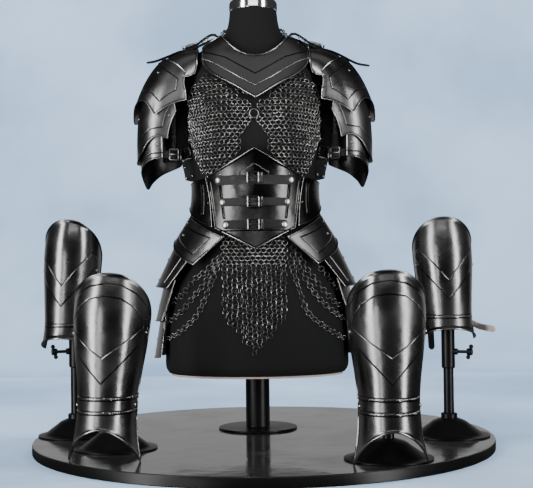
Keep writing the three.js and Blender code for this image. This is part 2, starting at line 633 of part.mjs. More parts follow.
// ---------------------------------------------------------------- mail skirt and hip chains
/** The skirt: a woven top that follows the corset's point, and a row of hanging chain ends. */
const SKIRT = {
  columns: 13, pitch: 9.6, left: -60, cord: 6.6, split: 302, topRows: 2, hangingRows: 3,
  hems: [222, 218, 214, 206, 192, 178, 165, 178, 190, 202, 214, 226, 238],
};
function mailSkirt() {
  const surface = frontOfBody(OFF.mail);
  const topZ = (x) => 374 + Math.abs(x) * 0.42;
  const edges = Array.from({ length: SKIRT.columns }, (_, k) => {
    const centre = SKIRT.left + k * SKIRT.pitch;
    return [centre - SKIRT.cord / 2, centre + SKIRT.cord / 2].map((x) => ({ x, hem: SKIRT.hems[k] }));
  }).flat();
  const rows = SKIRT.topRows + SKIRT.hangingRows;
  const heightAt = ({ x, hem }, row) => (row <= SKIRT.topRows
    ? THREE.MathUtils.lerp(topZ(x), SKIRT.split, row / SKIRT.topRows)
    : THREE.MathUtils.lerp(SKIRT.split, hem, (row - SKIRT.topRows) / SKIRT.hangingRows));
  const grid = (depth) => Array.from({ length: rows + 1 }, (_, row) => edges.map((edge) => {
    const z = heightAt(edge, row);
    return surface.at(edge.x, z).addScaledVector(outward(surface, edge.x, z, 0.5, 0.5), depth);
  }));
  return wallOver(grid(0), grid(-MAIL), (row, column) => row < SKIRT.topRows || column % 2 === 0);
}
addTo(figure, 'mail_skirt', mailSkirt(), FINISH.mail);

/** Chains that swing from the skirt to the hip: start, lowest stretch and end, across and up. */
const SWAGS = {
  left: [
    { from: [-69, 357], mid: [-116, 314], to: [-168, 263] },
    { from: [-69, 351], mid: [-118, 281], to: [-171, 231] },
    { from: [-69, 345], mid: [-113, 245], to: [-174, 197] },
  ],
  right: [
    { from: [106, 362], mid: [139, 316], to: [168, 284] },
    { from: [70, 375], mid: [129, 290], to: [172, 254] },
    { from: [69, 361], mid: [114, 282], to: [172, 232] },
    { from: [66, 346], mid: [97, 250], to: [170, 196] },
  ],
};
function hipChains(swags) {
  const surface = frontOfBody(OFF.chain);
  const on = ([x, z]) => surface.at(x, z);
  const half = (a, b) => [(a[0] + b[0]) / 2, (a[1] + b[1]) / 2];
  const lines = swags.map(({ from, mid, to }) => {
    const bow = (a, b) => { const [x, z] = half(a, b); return [x, z - 5]; };
    return tube([from, bow(from, mid), mid, bow(mid, to), to].map(on), 2.6, 9);
  });
  const links = swags.slice(1).map(({ from }, i) => {
    const between = half(swags[i].from, from);
    return tube([swags[i].from, between, from].map(on), 2.2, 2);
  });
  return joined(...lines, ...links);
}
SIDES.forEach(({ word }) => addTo(figure, `hip_chains_${word}`, hipChains(SWAGS[word]), FINISH.chain));

// ---------------------------------------------------------------- display stands
const STAND = { rod: 9.5, rodTop: 300, collar: 15, collarTop: 60 };
const SLEEVE = { bore: 10.3, radius: 12.5, bottom: 143, neck: 296, head: 36, headTop: 386, blind: 380 };
const SCREW = { height: 31, yaw: 25, bossEnd: 18, boss: 6, bore: 3.7, shaft: 3, shaftFrom: 13.4, shaftTo: 36,
  hub: 6.5, hubTo: 46, bar: 2.6, ball: 4.2, barHalf: 14, barTilt: 50 };
const ARM_STANDS = [
  { word: 'left', side: -1, x: -359, y: 22, foot: 71, raise: 5,
    shift: -13, turn: -10, lean: 0.06, stretch: 1.085 },
  { word: 'right', side: 1, x: 345, y: -35, foot: 75, raise: 0,
    shift: 0, turn: 0, lean: -0.05, stretch: 1 },
];
const domeProfile = (radius) => [[0, FLOOR], [radius, FLOOR], [radius, FLOOR + 2.5],
  [radius * 0.62, FLOOR + 11], [STAND.collar + 4, FLOOR + 28]];

const armStandBase = (foot) => turned([...domeProfile(foot), [STAND.collar, FLOOR + 33],
  [STAND.collar, STAND.collarTop], [STAND.rod, STAND.collarTop], [STAND.rod, STAND.rodTop],
  [0, STAND.rodTop]], 20);

/** The clamp screw's direction, out of the sleeve and a little towards the front. */
const screwAxis = (side) => point(side * cosine(SCREW.yaw), -sine(SCREW.yaw), 0);

function armStandSleeve(side) {
  const { bore, radius, bottom, neck, head, headTop, blind } = SLEEVE;
  const tubeBody = turned([[0, blind], [bore, blind], [bore, bottom], [radius, bottom], [radius, neck],
    [head - 5, neck + 6], [head, neck + 14], [head, headTop - 7], [head - 5, headTop], [0, headTop]], 16);
  const screwAt = point(0, 0, bottom + SCREW.height);
  const along = (distance) => screwAxis(side).multiplyScalar(distance).add(screwAt);
  const boss = rod(along(bore + 1), along(SCREW.bossEnd), SCREW.boss, 10);
  const hole = rod(along(SCREW.shaftFrom - 0.6), along(SCREW.bossEnd + 5), SCREW.bore, 10);
  return cut(joined(tubeBody, boss), hole);
}

function clampScrew(side) {
  const along = (distance) => screwAxis(side).multiplyScalar(distance);
  const level = point(side * sine(SCREW.yaw), cosine(SCREW.yaw), 0);
  const across = level.multiplyScalar(sine(SCREW.barTilt)).add(point(0, 0, cosine(SCREW.barTilt)));
  const middle = along((SCREW.shaftTo + SCREW.hubTo) / 2);
  const end = (way) => middle.clone().addScaledVector(across, way * SCREW.barHalf);
  const ball = (way) => new THREE.SphereGeometry(SCREW.ball, 8, 5).translate(...end(way).toArray());
  return joined(
    rod(along(SCREW.shaftFrom), along(SCREW.shaftTo + 1), SCREW.shaft, 8),
    rod(along(SCREW.shaftTo), along(SCREW.hubTo), SCREW.hub, 10),
    rod(end(-1), end(1), SCREW.bar, 6), ball(-1), ball(1),
  );
}

const VAMBRACE_HALF = [
  { top: [0, 424], bottom: [0, 217] }, { top: [30, 420], bottom: [30, 215] },
  { top: [56, 407], bottom: [56, 209] }, { top: [80, 388], bottom: [80, 201] },
  { top: [104, 362], bottom: [100, 196.5] },
];

/** The vambrace's tables pulled longer from its top edge. */
function stretched(stretch) {
  const longer = (z) => VAMBRACE_HALF[0].top[1] - (VAMBRACE_HALF[0].top[1] - z) * stretch;
  return {
    longer,
    rows: VAMBRACE_ROWS.map((row) => ({ ...row, z: longer(row.z) })),
    half: VAMBRACE_HALF.map(({ top, bottom }) => (
      { top: [top[0], longer(top[1])], bottom: [bottom[0], longer(bottom[1])] })),
  };
}
const LIMB_STRAP_INSET = PLATE + 1.5;
const LOOSE_WIDTH = 12;

/** A band closed round the back of a limb guard, starting just inside its two edges. */
function limbStrap(rows, z, lean, back) {
  const [top, bottom] = [z + STRAP_WIDTH / 2, z - STRAP_WIDTH / 2];
  const ends = [82, 278].map((angle) => ({ top: [angle, top], bottom: [angle, bottom] }));
  const surface = aroundLimb(rows, { lean, inset: LIMB_STRAP_INSET, back });
  return plateOn(surface, ends, { rows: 1, span: 18, wall: LEATHER });
}

/** The lower vambrace strap that is left undone: one end points out to the side, one hangs down. */
const LOOSE_ENDS = [
  { path: [[33, 14, 236], [46, 14, 227], [60, 3, 220], [82, -32, 216]], across: point(0, 0, 1) },
  { path: [[-29, 31.5, 236], [-27, 33, 205], [-26, 31, 175]], across: point(1, 0, 0) },
];
function looseStrap(band) {
  const ends = LOOSE_ENDS.map(({ path, across }) => (
    ribbonOn(alongRibbon(path.map((p) => point(...p)), across, point(0, 30, 0)), LOOSE_WIDTH)));
  return joined(band, ...ends);
}

ARM_STANDS.forEach(({ word, side, x, y, foot, raise, shift, turn, lean, stretch }) => {
  const stand = new THREE.Group();
  stand.position.set(x, y, 0);
  suit.add(stand);
  addTo(stand, `arm_stand_base_${word}`, armStandBase(foot), FINISH.paint);

  const sliding = new THREE.Group();
  sliding.position.z = raise;
  stand.add(sliding);
  addTo(sliding, `arm_stand_sleeve_${word}`, armStandSleeve(side), FINISH.paint);
  const screw = addTo(sliding, `arm_stand_screw_${word}`, clampScrew(side), FINISH.paint);
  screw.position.z = SLEEVE.bottom + SCREW.height;

  const guard = new THREE.Group();
  guard.position.x = shift;
  guard.rotation.z = radians(turn);
  sliding.add(guard);
  const { longer, rows, half } = stretched(stretch);
  addTo(guard, `vambrace_${word}`, plateOn(aroundLimb(rows, { lean }), bothSides(half),
    { rows: 5, span: 20 }), FINISH.plate);
  [longer(240), longer(335)].forEach((z, i) => {
    const band = limbStrap(rows, z, lean, 44);
    const undone = side > 0 && i === 0;
    addTo(guard, `vambrace_strap_${word}_${i + 1}`, undone ? looseStrap(band) : band, FINISH.leather);
  });
});

// ---------------------------------------------------------------- greaves on their stands
const GREAVE_HALF = [
  { top: [0, 330], bottom: [0, 76] }, { top: [28, 326], bottom: [22, 71] },
  { top: [52, 313], bottom: [46, 58] }, { top: [76, 292], bottom: [70, 38] },
  { top: [94, 268], bottom: [86, 22] }, { top: [102, 252], bottom: [93, FLOOR] },
];
const LEG_STAND = { radius: 74, rod: 9.5, top: 268, arm: 6, armZ: 262, pad: 14, padDepth: 6 };
const LEG_STANDS = [
  { word: 'left', x: -263, y: -273, turn: -5, lean: 0.066, baseX: -262, baseY: -140 },
  { word: 'right', x: 204, y: -333, turn: 0, lean: -0.018, baseX: 206, baseY: -279 },
];

/** A domed foot and post whose short arm ends in a round pad behind the greave's front. */
function legStand({ x, y, turn, lean, baseX, baseY }) {
  const { radius, rod: thick, top, arm, armZ, pad, padDepth } = LEG_STAND;
  const facing = point(sine(turn), -cosine(turn), 0);
  const front = smoothTable(GREAVE_ROWS, 'z')('front', armZ) - PLATE - 4.5;
  const padX = x - baseX + lean * (armZ - GREAVE_ROWS[0].z);
  const padFace = point(padX, y - baseY, armZ).addScaledVector(facing, front);
  const padBack = padFace.clone().addScaledVector(facing, -padDepth);
  const foot = turned([...domeProfile(radius), [thick, FLOOR + 34], [thick, top], [thick - 3, top + 3],
    [0, top + 3]], 20);
  const reach = rod(point(0, 0, armZ), padBack.clone().addScaledVector(facing, 1), arm, 8);
  return joined(foot, reach, rod(padBack, padFace, pad, 12));
}

LEG_STANDS.forEach((stand) => {
  const { word, x, y, turn, lean, baseX, baseY } = stand;
  const foot = addTo(suit, `leg_stand_${word}`, legStand(stand), FINISH.paint);
  foot.position.set(baseX, baseY, 0);
  const guard = new THREE.Group();
  guard.position.set(x, y, 0);
  guard.rotation.z = radians(turn);
  suit.add(guard);
  addTo(guard, `greave_${word}`, plateOn(aroundLimb(GREAVE_ROWS, { lean }), bothSides(GREAVE_HALF),
    { rows: 7, span: 20 }), FINISH.plate);
  [113, 231].forEach((z, i) => {
    addTo(guard, `greave_strap_${word}_${i + 1}`, limbStrap(GREAVE_ROWS, z, lean, 37), FINISH.leather);
  });
});

export default suit;
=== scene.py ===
"""A suit of plate armour on a limbless dress form and display stands, in a plain studio.

Shapes are worked out in millimetres, +Z up and the suit facing -Y, and turned to metres when a mesh
is made.  Every plate is a thin closed shell on a curved surface, with rolled rims, raised lines and
rivets.  Mail is made of separate rings.
"""
from __future__ import annotations

import json
import logging
import math
from collections.abc import Callable, Sequence
from dataclasses import dataclass, field
from enum import Enum

import bpy
import numpy as np
from mathutils import Matrix, Vector


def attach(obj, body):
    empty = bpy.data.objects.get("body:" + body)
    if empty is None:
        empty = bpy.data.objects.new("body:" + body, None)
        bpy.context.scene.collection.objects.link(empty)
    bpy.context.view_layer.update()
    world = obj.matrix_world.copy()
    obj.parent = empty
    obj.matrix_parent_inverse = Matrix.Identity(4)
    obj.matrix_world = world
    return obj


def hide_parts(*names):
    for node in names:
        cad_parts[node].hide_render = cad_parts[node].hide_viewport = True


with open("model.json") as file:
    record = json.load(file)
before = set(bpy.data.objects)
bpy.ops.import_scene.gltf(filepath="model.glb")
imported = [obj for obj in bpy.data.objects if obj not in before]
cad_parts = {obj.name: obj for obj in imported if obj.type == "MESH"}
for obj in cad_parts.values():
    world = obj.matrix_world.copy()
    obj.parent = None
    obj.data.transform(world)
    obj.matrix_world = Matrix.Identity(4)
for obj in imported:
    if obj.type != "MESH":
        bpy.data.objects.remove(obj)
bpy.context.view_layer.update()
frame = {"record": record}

LOG = logging.getLogger("armour")
MM = 0.001
FAR = 12.0                      # marks of distance are held within this many millimetres
CREASE = 38.0                   # edges that bend more than this many degrees stay sharp
DENSE = 24                      # points worked out for each given point of a smooth path


# ------------------------------------------------------------------ small maths
def unit(vectors: Sequence) -> np.ndarray:
    """Scales vectors to length one."""
    vectors = np.asarray(vectors, float)
    return vectors / np.linalg.norm(vectors, axis=-1, keepdims=True)


def bell(distance: np.ndarray, width: float) -> np.ndarray:
    """A bell curve, one at its middle: exp(-(distance / width)^2 / 2)."""
    return np.exp(-0.5 * (distance / width) ** 2)


def read_curve(knots: Sequence, rows: Sequence, at: np.ndarray, corners: Sequence[int] = ()) -> np.ndarray:
    """Reads rows of numbers as smooth curves of their knots, held level past the ends.

    Between two knots a step h apart, with t from 0 to 1 and r = t^2 (3 - 2t),
    value = a (1 - r) + b r + h t (1 - t) ((1 - t) m_a - t m_b), where a slope m is the chord of the
    neighbouring knots.  At a corner each side keeps its own chord.

    Args:
        knots: rising numbers, one for each row.
        rows: the values at the knots.
        at: where to read, of any shape.
        corners: the numbers of the rows where the curves bend sharply.

    Returns:
        The values, with one more axis than `at`.
    """
    knots, rows = np.asarray(knots, float), np.asarray(rows, float)
    last = len(knots) - 1
    low = np.maximum(np.arange(last + 1) - 1, 0)
    high = np.minimum(np.arange(last + 1) + 1, last)
    leaving = (rows[high] - rows[low]) / (knots[high] - knots[low])[:, None]
    arriving = leaving.copy()
    chord = np.diff(rows, axis=0) / np.diff(knots)[:, None]
    for i in corners:
        leaving[i] = chord[min(i, last - 1)]
        arriving[i] = chord[max(i - 1, 0)]
    at = np.clip(at, knots[0], knots[-1])
    i = np.clip(np.searchsorted(knots, at, side="right") - 1, 0, last - 1)
    step = (knots[i + 1] - knots[i])[..., None]
    t = (at - knots[i])[..., None] / step
    rise = t * t * (3 - 2 * t)
    bend = step * t * (1 - t) * ((1 - t) * leaving[i] - t * arriving[i + 1])
    return rows[i] * (1 - rise) + rows[i + 1] * rise + bend


def along(points: Sequence) -> np.ndarray:
    """The distance along a run of points to each of them."""
    steps = np.linalg.norm(np.diff(np.asarray(points, float), axis=0), axis=1)
    return np.concatenate([[0.0], np.cumsum(steps)])


def smooth_path(points: Sequence, pitch: float) -> np.ndarray:
    """A dense smooth run of points through a few given ones."""
    knots = along(points)
    dense = read_curve(knots, points, np.linspace(0, knots[-1], DENSE * len(points)))
    length = along(dense)
    count = max(2, int(math.ceil(length[-1] / pitch)) + 1)
    return resample(dense, np.linspace(0, length[-1], count))


def resample(points: Sequence, places: np.ndarray) -> np.ndarray:
    """The points at given distances along a run of points."""
    points = np.asarray(points, float)
    length = along(points)
    return np.stack([np.interp(places, length, points[:, i]) for i in range(points.shape[1])], axis=1)


class SmoothTable:
    """A table of named columns, each a smooth curve of the first one."""

    def __init__(self, names: str, *rows: Sequence[float]) -> None:
        """Keeps the columns' names, parted by spaces, and the rows."""
        self.names = names.split()
        self.rows = np.array(rows, float)

    def read(self, name: str, value: np.ndarray) -> np.ndarray:
        """The named column at the given values of the first column."""
        column = self.names.index(name)
        return read_curve(self.rows[:, 0], self.rows[:, column:column + 1], value)[..., 0]


FORM = SmoothTable(
    "z half front back",
    (129.3, 173, 112, 116), (140, 179, 117, 121), (160, 180, 118, 123), (230, 176, 117, 124),
    (300, 165, 111, 117), (345, 153, 105, 107), (390, 138, 98, 97), (430, 125, 92, 90),
    (470, 117, 89, 86), (520, 118, 92, 88), (560, 124, 97, 92), (600, 131, 100, 95),
    (650, 137, 92, 97), (700, 142, 74, 85), (735, 140, 56, 62), (757, 114, 48, 54),
    (778, 80, 46, 52), (795, 58, 45, 49), (815, 50, 45, 46), (841, 46.5, 46.5, 46.5),
)
SHOULDER = SmoothTable(
    "s x z tilt wide drop",
    (0, 110, 773, 4, 54, 40), (1, 143, 766, 14, 62, 51), (2, 173, 752, 33, 66, 58),
    (3, 199, 727, 53, 68, 62), (4, 218, 694, 68, 69, 62), (5, 230, 654, 80, 67, 58),
    (6, 235, 610, 88, 62, 55), (7, 235, 560, 90, 59, 54), (8, 231, 510, 92, 57, 52),
    (9, 225, 462, 95, 56, 52),
)
VAMBRACE_ROWS = (
    (196, 48, 55, 52), (217, 45.5, 52, 50), (240, 45, 51, 50), (280, 48.5, 54, 52),
    (330, 53, 57, 55), (370, 54, 58, 56), (400, 51, 55, 54), (425, 45, 49, 50),
)
GREAVE = SmoothTable(
    "z half front back",
    (18, 60, 72, 60), (60, 52, 63, 54), (102, 49, 58, 50), (130, 49.5, 58, 50), (165, 53, 61, 54),
    (210, 59, 66, 60), (262, 63, 70, 64), (300, 60, 67, 62), (332, 53, 61, 56),
)
BUST_APART, BUST_WIDE = 62, 38    # from the middle to each breast, and its width
BUST_Z, BUST_TALL, BUST_RISE = 612, 46, 38
RIDGE_HALF, RIDGE_POWER = 92, 1.3    # the corset's middle ridge

PLATE_WALL = 1.6
STRAP_WALL = 2.4
STRAP_WIDTH = 15
FLOOR = 18.3
MAIL_OFF = 4.2                  # from the form to the middle of a mail ring


# ------------------------------------------------------------------ surfaces to draw plates on
@dataclass(frozen=True)
class Place:
    """Where a thing stands and how far it is turned about Z, in millimetres and degrees."""

    x: float = 0.0
    y: float = 0.0
    z: float = 0.0
    turn: float = 0.0

    def apply(self, points: Sequence) -> np.ndarray:
        """Moves points from the thing's own frame to the world's."""
        points = np.asarray(points, float)
        cosine, sine = math.cos(math.radians(self.turn)), math.sin(math.radians(self.turn))
        x, y, z = points[..., 0], points[..., 1], points[..., 2]
        return np.stack([x * cosine - y * sine + self.x, x * sine + y * cosine + self.y, z + self.z], -1)

    def aim(self, directions: Sequence) -> np.ndarray:
        """Turns directions from the thing's own frame to the world's."""
        return self.apply(directions) - self.apply(np.zeros(3))


FIGURE = Place(-12, 90)


@dataclass(frozen=True)
class Surface:
    """A surface with two coordinates p and q; `heart` is a point well inside it."""

    place: Place = FIGURE
    steps: tuple[float, float] = (0.5, 0.5)

    def local(self, p: np.ndarray, q: np.ndarray) -> np.ndarray:
        """The point at (p, q) in the surface's own frame."""
        raise NotImplementedError

    def heart(self, p: np.ndarray, q: np.ndarray) -> np.ndarray:
        """A point inside, which tells outwards from inwards."""
        raise NotImplementedError

    def at(self, p: np.ndarray, q: np.ndarray) -> np.ndarray:
        """The world point at (p, q)."""
        return self.place.apply(self.local(*np.broadcast_arrays(np.asarray(p, float), q)))

    def normal(self, p: np.ndarray, q: np.ndarray) -> np.ndarray:
        """The outward unit normal at (p, q), from central differences."""
        dp, dq = self.steps
        p, q = np.broadcast_arrays(np.asarray(p, float), q)
        normal = unit(np.cross(self.at(p + dp, q) - self.at(p - dp, q),
                               self.at(p, q + dq) - self.at(p, q - dq)))
        out = self.at(p, q) - self.place.apply(self.heart(p, q))
        return normal * np.where((normal * out).sum(-1, keepdims=True) < 0, -1.0, 1.0)


@dataclass(frozen=True)
class BodySkin(Surface):
    """The dress form's skin moved out: q is the height, p the angle from the front.

    x = (half + offset) sin a and y = -(depth + offset + ridge) cos a - bust max(0, cos a), where the
    ridge falls as (1 - |x| / ridge_half)^ridge_power.  With `by_place`, p is x itself.
    """

    offset: float = 0.0
    ridge: float = 0.0
    by_place: bool = False

    def local(self, p: np.ndarray, q: np.ndarray) -> np.ndarray:
        """The point at (p, q) in the surface's own frame."""
        reach = FORM.read("half", q) + self.offset
        angle = np.arcsin(np.clip(p / reach, -1, 1)) if self.by_place else np.radians(p)
        x, cosine = reach * np.sin(angle), np.cos(angle)
        depth = np.where(cosine >= 0, FORM.read("front", q), FORM.read("back", q)) + self.offset
        ridge = self.ridge * np.maximum(0, 1 - np.abs(x) / RIDGE_HALF) ** RIDGE_POWER
        bust = BUST_RISE * bell(q - BUST_Z, BUST_TALL) * (
            bell(x - BUST_APART, BUST_WIDE) + bell(x + BUST_APART, BUST_WIDE))
        return np.stack([x, -(depth + ridge) * cosine - bust * np.maximum(0, cosine), q], -1)

    def heart(self, p: np.ndarray, q: np.ndarray) -> np.ndarray:
        """A point well inside the surface."""
        return np.stack([p * (0.3 if self.by_place else 0.0), 0 * p, q], -1)


@dataclass(frozen=True)
class ShoulderSkin(Surface):
    """The shoulder: p is the angle from the crest to the front, q runs from neck to elbow.

    With fall = drop (1 - cos p), the point is (x - sin(tilt) fall, -wide sin p, z - cos(tilt) fall).
    """

    side: int = 1
    steps: tuple[float, float] = (1.0, 0.05)

    def local(self, p: np.ndarray, q: np.ndarray) -> np.ndarray:
        """The point at (p, q) in the surface's own frame."""
        angle, tilt = np.radians(p), np.radians(SHOULDER.read("tilt", q))
        fall = SHOULDER.read("drop", q) * (1 - np.cos(angle))
        return np.stack([self.side * (SHOULDER.read("x", q) - np.sin(tilt) * fall),
                         -SHOULDER.read("wide", q) * np.sin(angle),
                         SHOULDER.read("z", q) - np.cos(tilt) * fall], -1)

    def heart(self, p: np.ndarray, q: np.ndarray) -> np.ndarray:
        """A point well inside the surface."""
        return self.local(np.full_like(p, 90.0), q) * np.array([1.0, 0.0, 1.0])


@dataclass(frozen=True)
class HipSkin(Surface):
    """A hip lame that flares straight from its top to its hem: p is the angle, q the height."""

    side: int = 1
    top: tuple[float, float, float] = (0, 0, 0)       # height, half width and depth
    hem: tuple[float, float, float] = (0, 0, 0)

    def local(self, p: np.ndarray, q: np.ndarray) -> np.ndarray:
        """The point at (p, q) in the surface's own frame."""
        angle = np.radians(p)
        t = (q - self.top[0]) / (self.hem[0] - self.top[0])
        half = self.top[1] + (self.hem[1] - self.top[1]) * t
        depth = self.top[2] + (self.hem[2] - self.top[2]) * t
        return np.stack([self.side * half * np.sin(angle), -depth * np.cos(angle), q], -1)

    def heart(self, p: np.ndarray, q: np.ndarray) -> np.ndarray:
        """A point well inside the surface."""
        return np.stack([0 * p + self.side * 40, 0 * p, q], -1)


@dataclass(frozen=True)
class LimbSkin(Surface):
    """A limb guard or its strap: p is the angle from the front, q the height.

    The axis leans sideways by `lean` for each millimetre above the guard's foot.
    """

    table: SmoothTable = None
    lean: float = 0.0
    inset: float = 0.0
    back: float = 0.0

    def local(self, p: np.ndarray, q: np.ndarray) -> np.ndarray:
        """The point at (p, q) in the surface's own frame."""
        angle = np.radians(p)
        behind = self.back if self.back else self.table.read("back", q) - self.inset
        depth = np.where(np.cos(angle) >= 0, self.table.read("front", q) - self.inset, behind)
        half = self.table.read("half", q) - self.inset
        return np.stack([self._axis(q) + half * np.sin(angle), -depth * np.cos(angle), q], -1)

    def heart(self, p: np.ndarray, q: np.ndarray) -> np.ndarray:
        """A point well inside the surface."""
        return np.stack([self._axis(q), 0 * p, q], -1)

    def _axis(self, q: np.ndarray) -> np.ndarray:
        """How far the leaning axis is to the side at each height."""
        return self.lean * (q - self.table.rows[0, 0])


# ------------------------------------------------------------------ closed parts and meshes
@dataclass
class Part:
    """Closed faces over points in millimetres.

    `rim` is each point's distance from a plate's rim, and `relief` its distance from the nearest
    raised line, above zero on the raised side.
    """

    points: np.ndarray
    quads: np.ndarray
    tris: np.ndarray = field(default_factory=lambda: np.zeros((0, 3), int))
    rim: np.ndarray | float = FAR
    relief: np.ndarray | float = -FAR

    def volume(self) -> float:
        """The enclosed volume, below zero if the faces look inwards."""
        faces = np.concatenate([self.tris, self.quads[:, :3], self.quads[:, [0, 2, 3]]])
        a, b, c = (self.points[faces[:, i]] - self.points[0] for i in range(3))
        return float((a * np.cross(b, c)).sum()) / 6


def stack(rings: Sequence, closed: bool = False) -> Part:
    """A closed solid through rings of points, capped at both ends unless it runs back into itself."""
    rings = np.asarray(rings, float)
    count, sides = rings.shape[:2]
    number = np.arange(count * sides).reshape(count, sides)
    low = number if closed else number[:-1]
    high = np.roll(number, -1, axis=0) if closed else number[1:]
    quads = np.stack([low, np.roll(low, -1, 1), np.roll(high, -1, 1), high], -1).reshape(-1, 4)
    tris = np.zeros((0, 3), int)
    if not closed:
        fan = np.stack([np.zeros(sides - 2, int), np.arange(2, sides), np.arange(1, sides - 1)], -1)
        tris = np.concatenate([fan, fan[:, ::-1] + number[-1, 0]])
    return Part(rings.reshape(-1, 3), quads, tris)


def sweep(path: Sequence, across: Sequence, up: Sequence, profile: Sequence, closed: bool = False,
          scale: np.ndarray | None = None) -> Part:
    """A profile carried along a path: point(i, k) = path_i + s_k across_i + h_k up_i."""
    path, profile = np.asarray(path, float), np.asarray(profile, float)
    across = np.broadcast_to(np.asarray(across, float), path.shape)
    up = np.broadcast_to(np.asarray(up, float), path.shape)
    scale = np.ones(len(path)) if scale is None else np.asarray(scale, float)
    wide = profile[None, :, 0, None] * scale[:, None, None] * across[:, None]
    return stack(path[:, None] + wide + profile[None, :, 1, None] * up[:, None], closed)


def rounded(corners: Sequence, radius: float, closed: bool = True, steps: int = 4) -> np.ndarray:
    """Corners of a flat outline, each replaced by a small arc."""
    corners = np.asarray(corners, float)
    out = []
    for i, corner in enumerate(corners):
        if not closed and i in (0, len(corners) - 1):
            out.append(corner)
            continue
        ends = [corners[i - 1] - corner, corners[(i + 1) % len(corners)] - corner]
        a, b = (corner + unit(end) * min(radius, 0.48 * np.linalg.norm(end)) for end in ends)
        for t in np.linspace(0, 1, steps):
            out.append((1 - t) ** 2 * a + 2 * t * (1 - t) * corner + t * t * b)
    return np.array(out)


def basis(axis: Sequence) -> np.ndarray:
    """Three unit directions as rows, the last along the given axis."""
    axis = unit(axis)
    helper = np.array([1.0, 0, 0]) if abs(axis[0]) < 0.8 else np.array([0, 1.0, 0])
    side = unit(np.cross(helper, axis))
    return np.stack([side, np.cross(axis, side), axis])


def circle(radius: float, sides: int) -> np.ndarray:
    """Points round a circle in the plane."""
    angle = 2 * np.pi * np.arange(sides) / sides
    return radius * np.stack([np.cos(angle), np.sin(angle)], -1)


def lathe(profile: Sequence, sides: int = 48, origin: Sequence = (0, 0, 0),
          axis: Sequence = (0, 0, 1)) -> Part:
    """A turned solid from (radius, height) pairs, its ends closed flat."""
    x, y, z = basis(axis)
    if tuple(axis) == (0, 0, 1):
        x, y, z = np.eye(3)
    ring = circle(1.0, sides)
    rings = [np.asarray(origin, float) + radius * (ring[:, :1] * x + ring[:, 1:] * y) + height * z
             for radius, height in profile]
    return stack(rings)


def rod(start: Sequence, end: Sequence, radius: float, sides: int = 16, bevel: float = 0.4) -> Part:
    """A round rod with softened ends."""
    start, end = np.asarray(start, float), np.asarray(end, float)
    length = np.linalg.norm(end - start)
    profile = [(radius - bevel, 0), (radius, bevel), (radius, length - bevel), (radius - bevel, length)]
    return lathe(profile, sides, start, end - start)


def ball(centre: Sequence, radius: float, sides: int = 16) -> Part:
    """A sphere."""
    angle = np.linspace(-0.49, 0.49, 10) * np.pi
    return lathe(np.stack([radius * np.cos(angle), radius * np.sin(angle)], -1), sides, centre)


def tube(path: Sequence, radius: float, sides: int = 8, closed: bool = False) -> Part:
    """A round wire along a path that keeps its twist low."""
    path = np.asarray(path, float)
    ahead = np.roll(path, -1, 0) - np.roll(path, 1, 0) if closed else np.gradient(path, axis=0)
    ahead = unit(ahead)
    across = [basis(ahead[0])[0]]
    for direction in ahead[1:]:
        last = across[-1]
        across.append(unit(last - direction * (last @ direction)))
    across = np.array(across)
    return sweep(path, across, np.cross(ahead, across), circle(radius, sides), closed)


def copies(template: Part, centres: Sequence, axes: Sequence) -> Part:
    """Many copies of a part, each at a centre and turned to its own three axes."""
    centres, axes = np.asarray(centres, float), np.asarray(axes, float)
    count, size = len(centres), len(template.points)
    points = centres[:, None] + np.einsum("kj,njc->nkc", template.points, axes)
    shift = (np.arange(count) * size)[:, None, None]
    return Part(points.reshape(-1, 3), (template.quads[None] + shift).reshape(-1, 4),
                (template.tris[None] + shift).reshape(-1, 3), template.rim)


def torus(major: float, minor: float, stretch: float = 0.0, around: int = 12, sides: int = 4) -> Part:
    """A ring in the XY plane, pulled longer along X by `stretch` on each side of its middle."""
    ring = circle(major, around)
    middle = np.stack([ring[:, 0] + np.sign(ring[:, 0]) * stretch, ring[:, 1], 0 * ring[:, 0]], -1)
    out = np.concatenate([unit(ring), np.zeros((around, 1))], 1)
    return sweep(middle, out, (0, 0, 1), circle(minor, sides), closed=True)


DOME = lathe([(1.0, -0.5), (1.0, 0.12), (0.86, 0.42), (0.55, 0.66), (0.15, 0.76)], 10)
DOME.rim = 1.0


def domes(centres: Sequence, normals: Sequence, radius: float, height: float = 1.0) -> Part:
    """Rivet heads of one size, lower than a half ball by `height`."""
    axes = np.array([basis(normal) * radius for normal in normals]) * [[1], [1], [height]]
    return copies(DOME, centres, axes)


class Catalogue:
    """Which body moves each CAD piece, and which finish it takes."""

    def __init__(self, record: dict) -> None:
        """Reads both from the part's record."""
        bodies = record["behaviour"]["bodies"]
        self.body = {node: body for body, nodes in bodies.items() for node in nodes}
        self.slot = {part["node"]: part["material_slot"] for part in record["subparts"]}


CATALOGUE = Catalogue(frame["record"])


